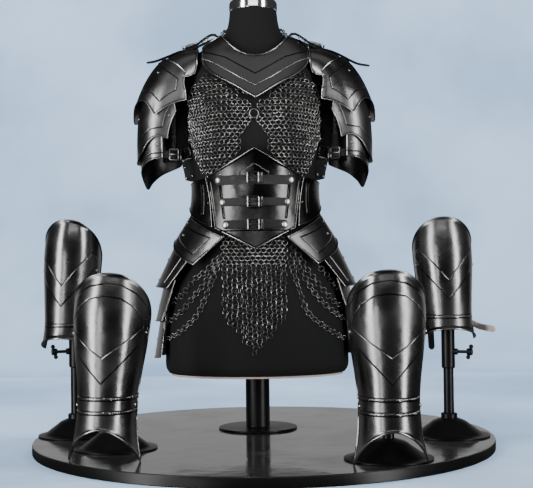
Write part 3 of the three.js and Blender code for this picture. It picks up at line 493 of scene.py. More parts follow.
class Piece:
    """One visible piece: closed parts gathered into one mesh that rides a body."""

    def __init__(self, name: str, node: str, slot: str = "") -> None:
        """Names the piece, the CAD piece it stands for and, if it isn't that one's, its slot."""
        self.name, self.node = name, node
        self.slot = slot or CATALOGUE.slot[node]
        self.parts: list[tuple[Part, int]] = []

    def add(self, *parts: Part, finish: int = 0) -> Piece:
        """Adds closed parts with the material of that number."""
        self.parts.extend((part, finish) for part in parts)
        return self

    def build(self, *finishes: bpy.types.Material, stands_for_node: bool = True) -> bpy.types.Object:
        """Makes the mesh object, hangs it on its body and hides the CAD piece if asked.

        Args:
            finishes: the materials, by the numbers given to `add`.
            stands_for_node: whether the CAD piece is hidden behind this one.

        Returns:
            The new object.
        """
        points, quads, tris, rim, relief, numbers = [], [], [], [], [], [[], []]
        base = 0
        for part, finish in self.parts:
            flip = slice(None, None, -1 if part.volume() < 0 else 1)
            quads.append(part.quads[:, flip] + base)
            tris.append(part.tris[:, flip] + base)
            numbers[0].append(np.full(len(part.quads), finish))
            numbers[1].append(np.full(len(part.tris), finish))
            points.append(part.points)
            rim.append(np.broadcast_to(part.rim, len(part.points)))
            relief.append(np.broadcast_to(part.relief, len(part.points)))
            base += len(part.points)
        points, quads, tris = (np.concatenate(rows) for rows in (points, quads, tris))
        mesh = bpy.data.meshes.new(self.name)
        mesh.vertices.add(len(points))
        mesh.vertices.foreach_set("co", (points * MM).astype(np.float32).ravel())
        mesh.loops.add(quads.size + tris.size)
        mesh.loops.foreach_set("vertex_index", np.concatenate([quads.ravel(), tris.ravel()]).astype(np.int32))
        mesh.polygons.add(len(quads) + len(tris))
        starts = np.concatenate([np.arange(len(quads)) * 4, quads.size + np.arange(len(tris)) * 3])
        mesh.polygons.foreach_set("loop_start", starts.astype(np.int32))
        mesh.polygons.foreach_set("material_index", np.concatenate(numbers[0] + numbers[1]).astype(np.int32))
        mesh.polygons.foreach_set("use_smooth", np.ones(len(quads) + len(tris), bool))
        mesh.update(calc_edges=True)
        for name, values in (("rim", rim), ("relief", relief)):
            layer = mesh.attributes.new(name, "FLOAT", "POINT")
            layer.data.foreach_set("value", np.concatenate(values).astype(np.float32))
        mesh.set_sharp_from_angle(angle=math.radians(CREASE))
        for finish in finishes:
            mesh.materials.append(finish)
        piece = bpy.data.objects.new(self.name, mesh)
        bpy.context.scene.collection.objects.link(piece)
        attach(piece, CATALOGUE.body[self.node])
        if stands_for_node:
            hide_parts(self.node)
        LOG.info("%s: %d faces", self.name, len(quads) + len(tris))
        return piece


# ------------------------------------------------------------------ shader maths
class Value:
    """One shader value; each arithmetic operator on it adds a Math node."""

    def __init__(self, tree: bpy.types.NodeTree, socket: bpy.types.NodeSocket) -> None:
        """Keeps the socket that gives the value, and its tree."""
        self.tree, self.socket = tree, socket

    def _math(self, operation: str, *terms: Value | float, clamp: bool = False) -> Value:
        """Adds one Math node for the operation on the terms."""
        node = self.tree.nodes.new("ShaderNodeMath")
        node.operation, node.use_clamp = operation, clamp
        for slot, term in zip(node.inputs, terms):
            if isinstance(term, Value):
                self.tree.links.new(term.socket, slot)
            else:
                slot.default_value = term
        return Value(self.tree, node.outputs[0])

    def __add__(self, other: Value | float) -> Value:
        """The sum."""
        return self._math("ADD", self, other)

    def __radd__(self, other: Value | float) -> Value:
        """The sum, the number first."""
        return self._math("ADD", other, self)

    def __sub__(self, other: Value | float) -> Value:
        """The difference."""
        return self._math("SUBTRACT", self, other)

    def __mul__(self, other: Value | float) -> Value:
        """The product."""
        return self._math("MULTIPLY", self, other)

    def __rmul__(self, other: Value | float) -> Value:
        """The product, the number first."""
        return self._math("MULTIPLY", other, self)

    def __abs__(self) -> Value:
        """The value without its sign."""
        return self._math("ABSOLUTE", self)

    def held(self) -> Value:
        """The value kept between zero and one."""
        return self._math("ADD", self, 0.0, clamp=True)

    def sine(self) -> Value:
        """The sine of the value."""
        return self._math("SINE", self)


class Graph:
    """One material, its Principled shader and a short way to add nodes to it."""

    def __init__(self, name: str, **constants: float | tuple) -> None:
        """Makes the material and sets the shader's inputs, named with _ for a space."""
        self.material = bpy.data.materials.new(name)
        self.material.use_nodes = True
        self.tree = self.material.node_tree
        self.shader = self.tree.nodes["Principled BSDF"]
        for socket, constant in constants.items():
            self.shader.inputs[socket.replace("_", " ")].default_value = constant

    def node(self, kind: str, settings: dict | None = None, inputs: dict | None = None) -> bpy.types.Node:
        """Adds a node with these settings, its inputs linked or set."""
        node = self.tree.nodes.new(kind)
        for name, setting in (settings or {}).items():
            setattr(node, name, setting)
        for name, value in (inputs or {}).items():
            self.feed(node.inputs[name], value)
        return node

    def feed(self, socket: bpy.types.NodeSocket, value: Value | bpy.types.NodeSocket | float | tuple) -> None:
        """Links or sets one input socket."""
        if isinstance(value, Value):
            value = value.socket
        if isinstance(value, bpy.types.NodeSocket):
            self.tree.links.new(value, socket)
        else:
            socket.default_value = value

    def mark(self, name: str) -> Value:
        """A number carried by the mesh."""
        node = self.node("ShaderNodeAttribute", {"attribute_name": name})
        return Value(self.tree, node.outputs["Fac"])

    def ramp(self, value: Value, start: float, end: float, low: float = 0.0, high: float = 1.0) -> Value:
        """A smooth step from low to high as the value goes from start to end."""
        node = self.node("ShaderNodeMapRange", {"interpolation_type": "SMOOTHSTEP"},
                         {"Value": value, "From Min": start, "From Max": end, "To Min": low,
                          "To Max": high})
        return Value(self.tree, node.outputs["Result"])

    def noise(self, scale: float, detail: float = 3.0, stretch: tuple = (1.0, 1.0, 1.0),
              roughness: float = 0.5) -> Value:
        """Noise over the object, its cells stretched along each axis."""
        place = self.node("ShaderNodeTexCoord").outputs["Object"]
        place = self.node("ShaderNodeVectorMath", {"operation": "DIVIDE"},
                          {0: place, 1: stretch}).outputs["Vector"]
        node = self.node("ShaderNodeTexNoise", {}, {"Vector": place, "Scale": scale, "Detail": detail,
                                                    "Roughness": roughness})
        return Value(self.tree, node.outputs["Fac"])

    def mix(self, factor: Value, first: tuple | bpy.types.NodeSocket,
            second: tuple | bpy.types.NodeSocket) -> bpy.types.NodeSocket:
        """A colour between two others."""
        node = self.node("ShaderNodeMix", {"data_type": "RGBA"})
        for socket, value in zip((node.inputs[0], node.inputs[6], node.inputs[7]),
                                 (factor, first, second)):
            self.feed(socket, value)
        return node.outputs[2]

    def bump(self, height: Value) -> None:
        """Bends the surface by a height in millimetres."""
        node = self.node("ShaderNodeBump", {}, {"Height": height, "Strength": 1.0, "Distance": MM})
        self.feed(self.shader.inputs["Normal"], node.outputs["Normal"])


def grey(level: float, warmth: float = 0.0) -> tuple:
    """A grey that may lean to warm or, below zero, to cool."""
    return (level * (1 + warmth), level, level * (1 - warmth), 1.0)


@dataclass(frozen=True)
class BlackenedSteel:
    """Polished dark plate with raised lines and faint scratches; its rim is painted bright, partly as wear
    and partly as a painted highlight, with a painted shade line just inside it, and each raised line has a
    painted highlight on its edge and painted shade on its low side.
    """

    name: str = "blackened_steel"
    base: float = 0.15
    # the colour of the bright rims and line edges: partly wear, partly painted highlight
    worn: float = 0.42
    step: float = 1.5            # how high the raised side of a line stands
    smooth: float = 0.21         # the lowest roughness

    def build(self) -> bpy.types.Material:
        """Returns the material."""
        graph = Graph(self.name, Metallic=1.0)
        rim, relief = graph.mark("rim"), graph.mark("relief")
        clouds = graph.noise(14.0, 4.0)
        brushed = graph.noise(900.0, 2.0, (1.0, 1.0, 14.0))
        pits = graph.noise(260.0, 3.0)
        # painted light: a bright rim band that is part wear and part painted highlight, a painted shade line
        # inside the rolled rim, and a painted highlight and painted shade along each raised line
        rim_wear_and_highlight = graph.ramp(rim, 2.4, 1.0)
        painted_rim_shade = graph.ramp(abs(rim - 3.6), 1.5, 0.4)
        painted_line_highlight = graph.ramp(abs(relief - 0.3), 1.2, 0.2)
        # worn: rim wear together with the painted rim and line highlights
        worn = ((0.65 * rim_wear_and_highlight + 0.16 * painted_line_highlight) * (0.3 + 1.1 * clouds)).held()
        painted_line_shade = (graph.ramp(abs(relief + 1.1), 1.6, 0.3) + 0.6 * painted_rim_shade).held()
        dark = graph.mix(clouds, grey(self.base * 0.66), grey(self.base * 1.3, 0.01))
        # painted shade on the low side of each raised line and in the crease inside the rim
        dark = graph.mix(0.8 * painted_line_shade, dark, grey(0.012))
        graph.feed(graph.shader.inputs["Base Color"], graph.mix(worn, dark, grey(self.worn, 0.01)))
        rough = self.smooth + 0.14 * graph.ramp(clouds, 0.3, 0.75) + 0.05 * pits
        graph.feed(graph.shader.inputs["Roughness"], rough)
        step = graph.ramp(relief, -1.5, 1.2, 0.0, self.step)
        graph.bump(step + 1.1 * graph.noise(24.0, 2.0) + 0.0008 * brushed + 0.002 * pits)
        return graph.material


@dataclass(frozen=True)
class Wire:
    """Bare steel wire, brighter on some rings than on others."""

    name: str
    base: float
    rough: float

    def build(self) -> bpy.types.Material:
        """Returns the material."""
        graph = Graph(self.name, Metallic=1.0, Roughness=self.rough)
        patches = graph.noise(45.0, 2.0)
        dull, lit = grey(self.base * 0.6, 0.02), grey(self.base * 1.25, 0.02)
        colour = graph.mix(graph.ramp(patches, 0.35, 0.7), dull, lit)
        graph.feed(graph.shader.inputs["Base Color"], colour)
        return graph.material


@dataclass(frozen=True)
class Leather:
    """Leather with a fine grain."""

    name: str
    colour: tuple
    rough: float = 0.42

    def build(self) -> bpy.types.Material:
        """Returns the material."""
        graph = Graph(self.name, Specular_IOR_Level=0.14)
        grain, clouds = graph.noise(520.0, 3.0), graph.noise(60.0, 3.0)
        faded = tuple(min(1.0, 3.0 * c) for c in self.colour[:3]) + (1.0,)
        graph.feed(graph.shader.inputs["Base Color"],
                   graph.mix(graph.ramp(clouds, 0.5, 0.85), self.colour, faded))
        graph.feed(graph.shader.inputs["Roughness"], self.rough + 0.2 * grain)
        graph.bump(0.25 * grain)
        return graph.material


@dataclass(frozen=True)
class FormCloth:
    """The dress form's black jersey."""

    def build(self) -> bpy.types.Material:
        """Returns the material."""
        graph = Graph("form_cloth", Base_Color=grey(0.0065), Roughness=0.85, Specular_IOR_Level=0.2)
        weave = graph.noise(1400.0, 1.0, (1.0, 1.0, 1.6))
        graph.bump(0.12 * weave)
        return graph.material


@dataclass(frozen=True)
class Coat:
    """A plain painted or plated finish, with specks where it is textured."""

    name: str
    colour: tuple
    rough: float
    metal: float = 0.0
    specks: float = 0.0
    shine: float = 0.5

    def build(self) -> bpy.types.Material:
        """Returns the material."""
        graph = Graph(self.name, Base_Color=self.colour, Metallic=self.metal, Specular_IOR_Level=self.shine)
        clouds = graph.noise(9.0, 5.0)
        if self.specks:
            clouds = graph.ramp(clouds, 0.4, 0.66, -0.2, 1.6)
        graph.feed(graph.shader.inputs["Roughness"], self.rough * (0.7 + 0.6 * clouds))
        if self.specks:
            dots = graph.noise(300.0, 2.0)
            lit = graph.ramp(dots, 0.62, 0.8)
            worn = graph.ramp(graph.noise(16.0, 6.0, roughness=0.65), 0.52, 0.8)
            graph.feed(graph.shader.inputs["Base Color"],
                       graph.mix((self.specks * lit + 0.35 * worn).held(), self.colour, grey(0.16)))
            graph.bump(0.06 * dots + 0.5 * graph.noise(26.0, 3.0))
        return graph.material


@dataclass(frozen=True)
class Plywood:
    """A board whose edge shows thin layers."""

    dark: tuple = (0.36, 0.25, 0.21, 1)
    light: tuple = (0.66, 0.52, 0.47, 1)

    def build(self) -> bpy.types.Material:
        """Returns the material."""
        graph = Graph("plywood", Roughness=0.65)
        height = graph.node("ShaderNodeSeparateXYZ", {}, {
            0: graph.node("ShaderNodeTexCoord").outputs["Object"]}).outputs["Z"]
        layers = (Value(graph.tree, height) * 6200.0).sine() * 0.5 + 0.5
        grain = graph.noise(30.0, 4.0, (6.0, 1.0, 1.0))
        graph.feed(graph.shader.inputs["Base Color"],
                   graph.mix((layers * 0.6 + grain * 0.4).held(), self.dark, self.light))
        return graph.material


class Finishes:
    """Every material of the suit, the form, the stands and the platform, made once."""

    def __init__(self) -> None:
        """Makes them."""
        # each steel's third number is the colour of its rims and line edges, partly wear and partly painted
        # highlight
        self.plate = BlackenedSteel().build()
        self.guard = BlackenedSteel("guard_steel", 0.13, 0.6, smooth=0.19).build()
        self.hardware = BlackenedSteel("buckle_steel", 0.16, 0.42).build()
        self.mail = Wire("mail_wire", 0.29, 0.38).build()
        self.chain = Wire("chain_wire", 0.24, 0.5).build()
        self.bright = Wire("bright_steel", 0.62, 0.42).build()
        self.corset = BlackenedSteel("corset_steel", 0.044, 0.34, smooth=0.15).build()
        self.leather = Leather("black_leather", (0.009, 0.009, 0.0092, 1)).build()
        self.worn_leather = Leather("worn_leather", (0.018, 0.018, 0.0185, 1), 0.45).build()
        self.tan = Leather("tan_leather", (0.5, 0.38, 0.33, 1), 0.6).build()
        self.cloth = FormCloth().build()
        self.chrome = Coat("neck_chrome", grey(0.78), 0.12, 1.0).build()
        self.paint = Coat("black_paint", grey(0.003), 0.35, shine=0.18).build()
        self.platform = Coat("platform_paint", grey(0.02), 0.11, specks=0.8, shine=0.56).build()
        self.plywood = Plywood().build()


# ------------------------------------------------------------------ plates
SHARP = True                    # a station's fifth item, where the edges turn a corner
INNER_RIM = 1.2                 # how much further from the rim the hidden face is marked


@dataclass(frozen=True)
class Rivet:
    """A domed head on a plate at (p, q)."""

    p: float
    q: float
    radius: float = 3.2


@dataclass(frozen=True)
class Plate:
    """A shell on a surface between the top and bottom edges given by its stations.

    Each station is (top p, top q, bottom p, bottom q), with SHARP after it where the edges turn a
    corner.  The outer face springs out by lift + flare v^3, v being the share of the way to the
    bottom edge, and its rim is a bead roll sqrt(1 - (rim / roll - 1)^2) high.  `raised` holds
    outlines in (p, q) whose inside stands proud; where two overlap the surface is level again.
    """

    node: str
    surface: Surface
    stations: tuple
    lift: float = 0.0
    flare: float = 0.0
    roll: float = 1.1
    raised: tuple = ()
    rivets: tuple = ()

    PITCH = 2.6                        # the grid's step
    NEAREST = 0.9                      # grid columns don't come nearer than this
    MARGIN = (0.0, 0.5, 1.1, 1.9, 3.0)  # extra grid lines beside the rim
    MARGIN_SHARE = 0.3                 # the most of a plate's height that they take
    LINE_STEPS = 8                     # points on each straight of a raised outline

    def build(self, finish: bpy.types.Material) -> None:
        """Makes the plate's mesh in one finish."""
        Piece(f"{self.node}_plate", self.node).add(*self.parts()).build(finish)

    def parts(self) -> list[Part]:
        """The plate and its rivets."""
        p, q, v = self._grid()
        base, normal = self.surface.at(p, q), self.surface.normal(p, q)
        rim = self._rim(base)
        bead = np.clip(rim / self.roll, 0, 2)
        rolled = self.roll * np.sqrt(np.maximum(0, 1 - (bead - 1) ** 2))
        spring = self.lift + self.flare * v ** 3
        outer = base + normal * (spring + rolled)[..., None]
        inner = base + normal * (spring - PLATE_WALL)[..., None]
        shell = wall_over(outer, inner)
        shell.rim = np.concatenate([rim.ravel(), np.minimum(rim.ravel() + INNER_RIM, FAR)])
        shell.relief = np.concatenate([self._relief(p, q, base), np.full(p.size, -FAR)])
        return [shell, *self._rivets()]

    def _grid(self) -> tuple[np.ndarray, np.ndarray, np.ndarray]:
        """Grid places p and q and the share v of the way from the top edge, all [row, column]."""
        rows = np.array([station[:4] for station in self.stations], float)
        corners = [i for i, station in enumerate(self.stations) if station[4:] == (SHARP,)]
        top, bottom = (self.surface.at(rows[:, i], rows[:, i + 1]) for i in (0, 2))
        widths = np.maximum(*(np.linalg.norm(np.diff(edge, axis=0), axis=1) for edge in (top, bottom)))
        knots = np.concatenate([[0], np.cumsum(widths)])
        margin = np.array(self.MARGIN)
        edges = read_curve(knots, rows, self._columns(knots, margin), corners)
        tall = np.linalg.norm(self.surface.at(edges[:, 0], edges[:, 1])
                              - self.surface.at(edges[:, 2], edges[:, 3]), axis=1)
        count = max(2, int(math.ceil(tall.max() / self.PITCH)))
        reach = np.minimum(margin[-1] / np.maximum(tall, 1), self.MARGIN_SHARE)
        start = margin[:-1, None] / margin[-1] * reach
        middle = reach + (1 - 2 * reach) * np.linspace(0, 1, count + 1)[:, None]
        v = np.concatenate([start, middle, 1 - start[::-1]])
        p = edges[:, 0] * (1 - v) + edges[:, 2] * v
        q = edges[:, 1] * (1 - v) + edges[:, 3] * v
        return p, q, v

    def _columns(self, knots: np.ndarray, margin: np.ndarray) -> np.ndarray:
        """The grid's columns: even between the knots and close together beside the two ends."""
        ends = np.concatenate([margin, knots[-1] - margin])
        places = [np.linspace(a, b, max(2, int(math.ceil((b - a) / self.PITCH)) + 1))
                  for a, b in zip(knots[:-1], knots[1:])]
        columns = np.unique(np.round(np.concatenate([*places, ends]), 3))
        known = np.isin(columns, np.round(np.concatenate([knots, ends]), 3))
        gaps = np.diff(columns)
        roomy = np.minimum(gaps[:-1], gaps[1:]) > self.NEAREST
        keep = np.concatenate([[True], roomy, [True]]) | known
        return columns[keep]

    def _rim(self, base: np.ndarray) -> np.ndarray:
        """Each grid point's distance from the plate's outline."""
        outline = np.concatenate([base[0], base[1:, -1], base[-1, -2::-1], base[-2::-1, 0]])
        return np.minimum(FAR, distance(base.reshape(-1, 3), outline)).reshape(base.shape[:2])

    def _relief(self, p: np.ndarray, q: np.ndarray, base: np.ndarray) -> np.ndarray:
        """Each grid point's distance from the raised outlines, above zero on their raised side."""
        away = np.full(p.size, FAR)
        raised = np.zeros(p.size, bool)
        share = np.linspace(0, 1, self.LINE_STEPS + 1)[:-1, None, None]
        for outline in self.raised:
            outline = np.asarray(outline, float)
            closed = np.concatenate([outline, outline[:1]])
            dense = (closed[:-1] * (1 - share) + closed[1:] * share).transpose(1, 0, 2).reshape(-1, 2)
            dense = np.concatenate([dense, dense[:1]])
            line = self.surface.at(dense[:, 0], dense[:, 1])
            away = np.minimum(away, distance(base.reshape(-1, 3), line))
            raised ^= within(outline, p.ravel(), q.ravel())
        return np.where(raised, away, -away)

    def _rivets(self) -> list[Part]:
        """The domed heads, seated on the plate's face."""
        parts = []
        for radius in sorted({rivet.radius for rivet in self.rivets}):
            p, q = np.array([(rivet.p, rivet.q) for rivet in self.rivets if rivet.radius == radius], float).T
            normals = self.surface.normal(p, q)
            parts.append(domes(self.surface.at(p, q) + normals * self.lift, normals, radius))
        return parts


def distance(points: np.ndarray, line: np.ndarray) -> np.ndarray:
    """Each point's distance from the nearest segment of a run of points."""
    best = np.full(len(points), np.inf)
    for start, end in zip(line[:-1], line[1:]):
        way = end - start
        length = float(way @ way)
        offset = points - start
        t = np.clip(offset @ way / length, 0, 1) if length > 1e-9 else np.zeros(len(points))
        best = np.minimum(best, ((offset - t[:, None] * way) ** 2).sum(1))
    return np.sqrt(best)


def within(outline: np.ndarray, p: np.ndarray, q: np.ndarray) -> np.ndarray:
    """Which places lie inside an outline, by the even-odd rule."""
    hit = np.zeros(len(p), bool)
    for (p0, q0), (p1, q1) in zip(outline, np.roll(outline, -1, axis=0)):
        if q0 == q1:
            continue
        crossing = p0 + (q - q0) * (p1 - p0) / (q1 - q0)
        hit ^= ((q0 > q) != (q1 > q)) & (p < crossing)
    return hit


def wall_over(outer: np.ndarray, inner: np.ndarray) -> Part:
    """A closed wall between two grids of points."""
    rows, columns = outer.shape[:2]
    front = np.arange(rows * columns).reshape(rows, columns)
    rear = front + rows * columns

    def cells(grid: np.ndarray) -> np.ndarray:
        """The faces of a grid."""
        return np.stack([grid[:-1, :-1], grid[1:, :-1], grid[1:, 1:], grid[:-1, 1:]], -1).reshape(-1, 4)

    def side(a: np.ndarray, b: np.ndarray) -> np.ndarray:
        """The faces between two edges."""
        return np.stack([a[:-1], b[:-1], b[1:], a[1:]], -1)

    quads = np.concatenate([
        cells(front), cells(rear)[:, ::-1],
        side(front[:, 0], rear[:, 0]), side(rear[:, -1], front[:, -1]),
        side(rear[0], front[0]), side(front[-1], rear[-1]),
    ])
    return Part(np.concatenate([outer.reshape(-1, 3), inner.reshape(-1, 3)]), quads)


def band(upper: np.ndarray, lower: np.ndarray) -> np.ndarray:
    """The outline between two lines that run the same way."""
    return np.concatenate([upper, np.asarray(lower)[::-1]])


def both_ways(half: Sequence) -> np.ndarray:
    """A line that is the same on both sides, from its right half that starts at p = 0."""
    half = np.asarray(half, float)
    return np.concatenate([half[:0:-1] * [-1, 1], half])


def mirrored(outline: Sequence, sign: int) -> tuple:
    """An outline on the side of p that the sign gives."""
    return tuple((sign * p, q) for p, q in outline)


def flipped(stations: Sequence) -> tuple:
    """Stations on the other side of p = 0."""
    return tuple((-s[0], s[1], -s[2], s[3], *s[4:]) for s in stations)[::-1]


def both_sides(half: Sequence) -> tuple:
    """Stations that are the same on both sides, from those of the side with p above zero."""
    return flipped(half[1:] if half[0][0] == 0 else half) + tuple(half)


# ------------------------------------------------------------------ the torso's plates
class Side(Enum):
    """The suit's two sides as they are seen from the front, with the sign of X on each."""

    LEFT = -1
    RIGHT = 1

    @property
    def word(self) -> str:
        """The side's word in the names of its pieces."""
        return self.name.lower()


@dataclass(frozen=True)
class Gorget:
    """The collar plate with two chevrons.

    Its neckline has the height throat_low + throat_rise (|x| / throat_half)^throat_power.
    """

    offset: float = 14.0
    shift: float = 3.5                 # how far the collar sits to one side
    throat_low: float = 744.0
    throat_rise: float = 44.0
    throat_half: float = 66.0
    throat_power: float = 1.9
    hem: tuple = ((0, 654, SHARP), (18, 665), (36, 677), (52, 687), (66, 695, SHARP))
    tips: tuple = ((86, 779, 86, 709), (98, 771, 98, 722), (104, 766, 104, 734))
    upper: tuple = ((0, 704), (30, 722), (58, 740), (85, 749), (105, 754), (125, 757))
    lower: tuple = ((0, 680), (32, 698), (62, 718), (84, 732), (106, 741), (125, 746))

    def build(self, finishes: Finishes) -> None:
        """Makes the plate."""
        half = [(x, self._throat(x), x, *rest) for x, *rest in self.hem] + list(self.tips)
        stations = tuple((s[0] + self.shift, s[1], s[2] + self.shift, s[3], *s[4:]) for s in both_sides(half))
        lines = (both_ways(line) + [self.shift, 0] for line in (self.upper, self.lower))
        Plate("gorget", BodySkin(offset=self.offset, by_place=True), stations, roll=1.3,
              raised=(band(*lines),)).build(finishes.plate)

    def _throat(self, x: float) -> float:
        """The neckline's height at x."""
        return self.throat_low + self.throat_rise * (abs(x) / self.throat_half) ** self.throat_power


@dataclass(frozen=True)
class Lame:
    """One plate of a row of overlapping ones."""

    stations: tuple
    lift: float = 0.0
    flare: float = 0.0
    raised: tuple = ()
    rivets: tuple = ()


@dataclass(frozen=True)
class Pauldron:
    """The four lames of a shoulder guard, from the neck down: crest, cap and two on the upper arm."""

    side: Side
    lames: tuple[Lame, ...] = (
        Lame(both_sides(((0, 0, 0, 2.45), (38, 0, 34, 2.4), (72, 0, 66, 2), (100, 0.05, 94, 1.45),
                         (116, 0.25, 110, 0.75))), -3.8),
        Lame(((-84, 1.1, -119, 4), (-58, 1.7, -84, 4.9), (-28, 2.1, -42, 5.5), (0, 2.2, -12, 5.75),
              (10, 2.2, 6, 5.28), (16, 2.18, 24, 4.93), (24, 2.14, 43, 4.8), (34, 2.05, 58, 4.95),
              (48, 1.9, 77, 5.5, SHARP), (66, 1.55, 98, 4.8), (97, 0.95, 119, 4)), 0, 6,
             (((22, 2.65), (25, 4.28), (57, 4.28), (79, 4.68), (95, 3.55), (88, 2.45), (61, 2.65)),),
             (Rivet(45, 3.05, 2.6), Rivet(96, 1.4, 2.6), Rivet(0, 2.5), Rivet(-28, 2.4))),
        Lame(((-138, 4.8, -134, 6.6), (-90, 4.4, -84, 6.9), (-40, 4.35, -42, 7.3), (0, 4.3, -8, 7.42),
              (22, 4.35, 20, 7.3), (44, 4.4, 43, 7), (62, 4.4, 60, 6.65), (80, 4.4, 78, 6.42),
              (101, 4.4, 91, 6.42), (117, 5.1, 105, 6.5)), -4, 2.5,
             (((-140, 6.4), (0, 6.9), (64, 6.1), (93, 6.0), (99, 4.9), (99, 3.0), (-140, 3.0)),),
             (Rivet(20, 5.6, 2.6), Rivet(104, 5.4, 2.6))),
        Lame(((-140, 6, -138, 7.45), (-84, 6, -84, 7.75), (-50, 6, -52, 8.1), (-30, 6, -30, 8.4),
              (-14, 6, -14, 8.1), (0, 6, 0, 7.85), (36, 6, 36, 7.5), (64, 6, 64, 7.3), (94, 6, 94, 7.25)),
             -8, 0, (((-140, 7.2), (0, 7.6), (60, 7.05), (120, 7.0), (120, 5), (-140, 5)),),
             (Rivet(40, 6.7), Rivet(80, 6.7))),
    )

    def build(self, finishes: Finishes) -> None:
        """Makes the four lames."""
        for i, lame in enumerate(self.lames):
            Plate(f"pauldron_{self.side.word}_{i + 1}", ShoulderSkin(side=self.side.value), lame.stations,
                  lame.lift, lame.flare, raised=lame.raised, rivets=lame.rivets).build(finishes.plate)


@dataclass(frozen=True)
class Corset:
    """The pointed front, the two sides and the back, with three straps across the front."""

    offset: float = 10.0
    ridge: float = 9.0
    front: tuple = ((0, 560, 0, 369, SHARP), (30, 543, 26, 382.5), (60, 526.5, 52, 396), (89, 510, 77, 409))
    chevron: tuple = ((0, 531), (27, 515), (27, 500), (-27, 500), (-27, 515))
    seam: tuple = ((67, 491), (64.5, 491), (57.5, 428), (60, 428))
    point: tuple = ((-85, 404), (85, 404), (85, 360), (-85, 360))
    back: tuple = ((107, 499, 107, 456), (180, 512, 180, 440), (253, 499, 253, 456))
    flank: tuple = ((47.4, 508, 35.6, 412), (66, 504, 60, 430), (88, 500, 88, 452), (106, 499, 106, 456))
    flank_line: tuple = ((52, 496), (55.5, 496), (52, 438), (48.5, 438))
    flank_rivets: tuple = ((46, 497), (44.5, 459), (98, 490), (98, 463))
    straps: tuple = ((500, 76, 18.0), (459, 68, 15.0), (416, 62, 16.5))    # height, half length, width
    strap_offset: float = 13.4
    buckle_x: float = -3.0
    top_buckle_rise: float = 4.0
    rivet_inset: float = 5.5
    worn_straps: int = 2

    def build(self, finishes: Finishes) -> None:
        """Makes the plates and the straps."""
        skin = BodySkin(offset=self.offset)
        Plate("corset_front", BodySkin(offset=self.offset, ridge=self.ridge, by_place=True),
              both_sides(self.front), roll=1.4,
              raised=(self.chevron, mirrored(self.seam, -1), mirrored(self.seam, 1), self.point),
              rivets=(Rivet(-66, 512, 2.0), Rivet(66, 512, 2.0))).build(finishes.corset)
        Plate("corset_back", skin, self.back,
              rivets=tuple(Rivet(p, q, 2.6) for p in (114, 246) for q in (490, 465))).build(finishes.corset)
        for side in Side:
            stations = self.flank if side is Side.RIGHT else flipped(self.flank)
            Plate(f"corset_side_{side.word}", skin, stations, raised=(mirrored(self.flank_line, side.value),),
                  rivets=tuple(Rivet(p, q, 2.2) for p, q in mirrored(self.flank_rivets, side.value))
                  ).build(finishes.corset)
        for i in range(len(self.straps)):
            self._strap(i, finishes)

    def _strap(self, number: int, finishes: Finishes) -> None:
        """Makes one strap with its buckle and its two large rivets."""
        z, half, width = self.straps[number]
        skin = BodySkin(offset=self.strap_offset, ridge=self.ridge, by_place=True)
        x = np.linspace(-half, half, 80)
        bands = [strap(skin.at(x, z), (0, 0, 1), skin.normal(x, z), width, tips=(6.0, 6.0))]
        centre = skin.at(self.buckle_x, z + (0.0 if number else self.top_buckle_rise))
        ends = np.array([self.rivet_inset - half, half - self.rivet_inset])
        make_strap(finishes, f"corset_strap_{number + 1}", bands,
                   metal=buckle(centre, (1, 0, 0), (0, -1, 0), 21, 20, 1.5),
                   bright=[domes(skin.at(ends, z), skin.normal(ends, z), 6.1, 0.5)],
                   worn=number < self.worn_straps)


@dataclass(frozen=True)
class HipLame:
    """One lame of a tasset: its top and hem as (height, half width, depth), its edges and its rivets."""

    top: tuple[float, float, float]
    hem: tuple[float, float, float]
    stations: tuple
    raised: tuple
    rivets: tuple


@dataclass(frozen=True)
class Tasset:
    """The four lames over one hip."""

    side: Side
    rivet_radius: float = 3.0
    lames: tuple[HipLame, ...] = (
        HipLame((455, 118, 106), (340, 189.5, 130),
                ((23, 393.5, 23, 389.5), (34, 404, 30.2, 368), (50, 419, 38.5, 340, SHARP),
                 (66, 431, 60, 362), (90, 444, 90, 389), (132, 444, 132, 390)),
                (((33, 391), (42.5, 361), (58, 380), (80, 402), (80, 415), (60, 410)),),
                ((66, 399), (76, 424), (96, 432), (120, 432), (96, 402), (124, 402))),
        HipLame((400, 150, 112), (297, 199, 136),
                ((38, 396, 58.6, 296, SHARP), (62, 400, 72, 298), (90, 400, 90, 299), (130, 400, 126, 300)),
                (((47, 400), (66, 306), (69, 312), (52, 400)),),
                ((92, 352), (120, 352), (92, 312), (120, 312))),
        HipLame((312, 180, 126), (231, 199, 140),
                ((60, 312, 66, 233, SHARP), (78, 312, 80, 231.5), (98, 312, 98, 231), (124, 312, 121, 232)),
                (), ((94, 262), (116, 262))),
        HipLame((243, 188.5, 132), (160, 202, 143),
                ((69, 243, 67, 163, SHARP), (82, 243, 82, 160), (98, 243, 98, 159.5), (118, 243, 116, 160)),
                (), ((92, 196), (110, 196))),
    )

    def build(self, finishes: Finishes) -> None:
        """Makes the four lames."""
        for i, lame in enumerate(self.lames):
            skin = HipSkin(side=self.side.value, top=lame.top, hem=lame.hem)
            Plate(f"tasset_{self.side.word}_{i + 1}", skin, lame.stations, roll=1.3, raised=lame.raised,
                  rivets=tuple(Rivet(p, q, self.rivet_radius) for p, q in lame.rivets)).build(finishes.plate)


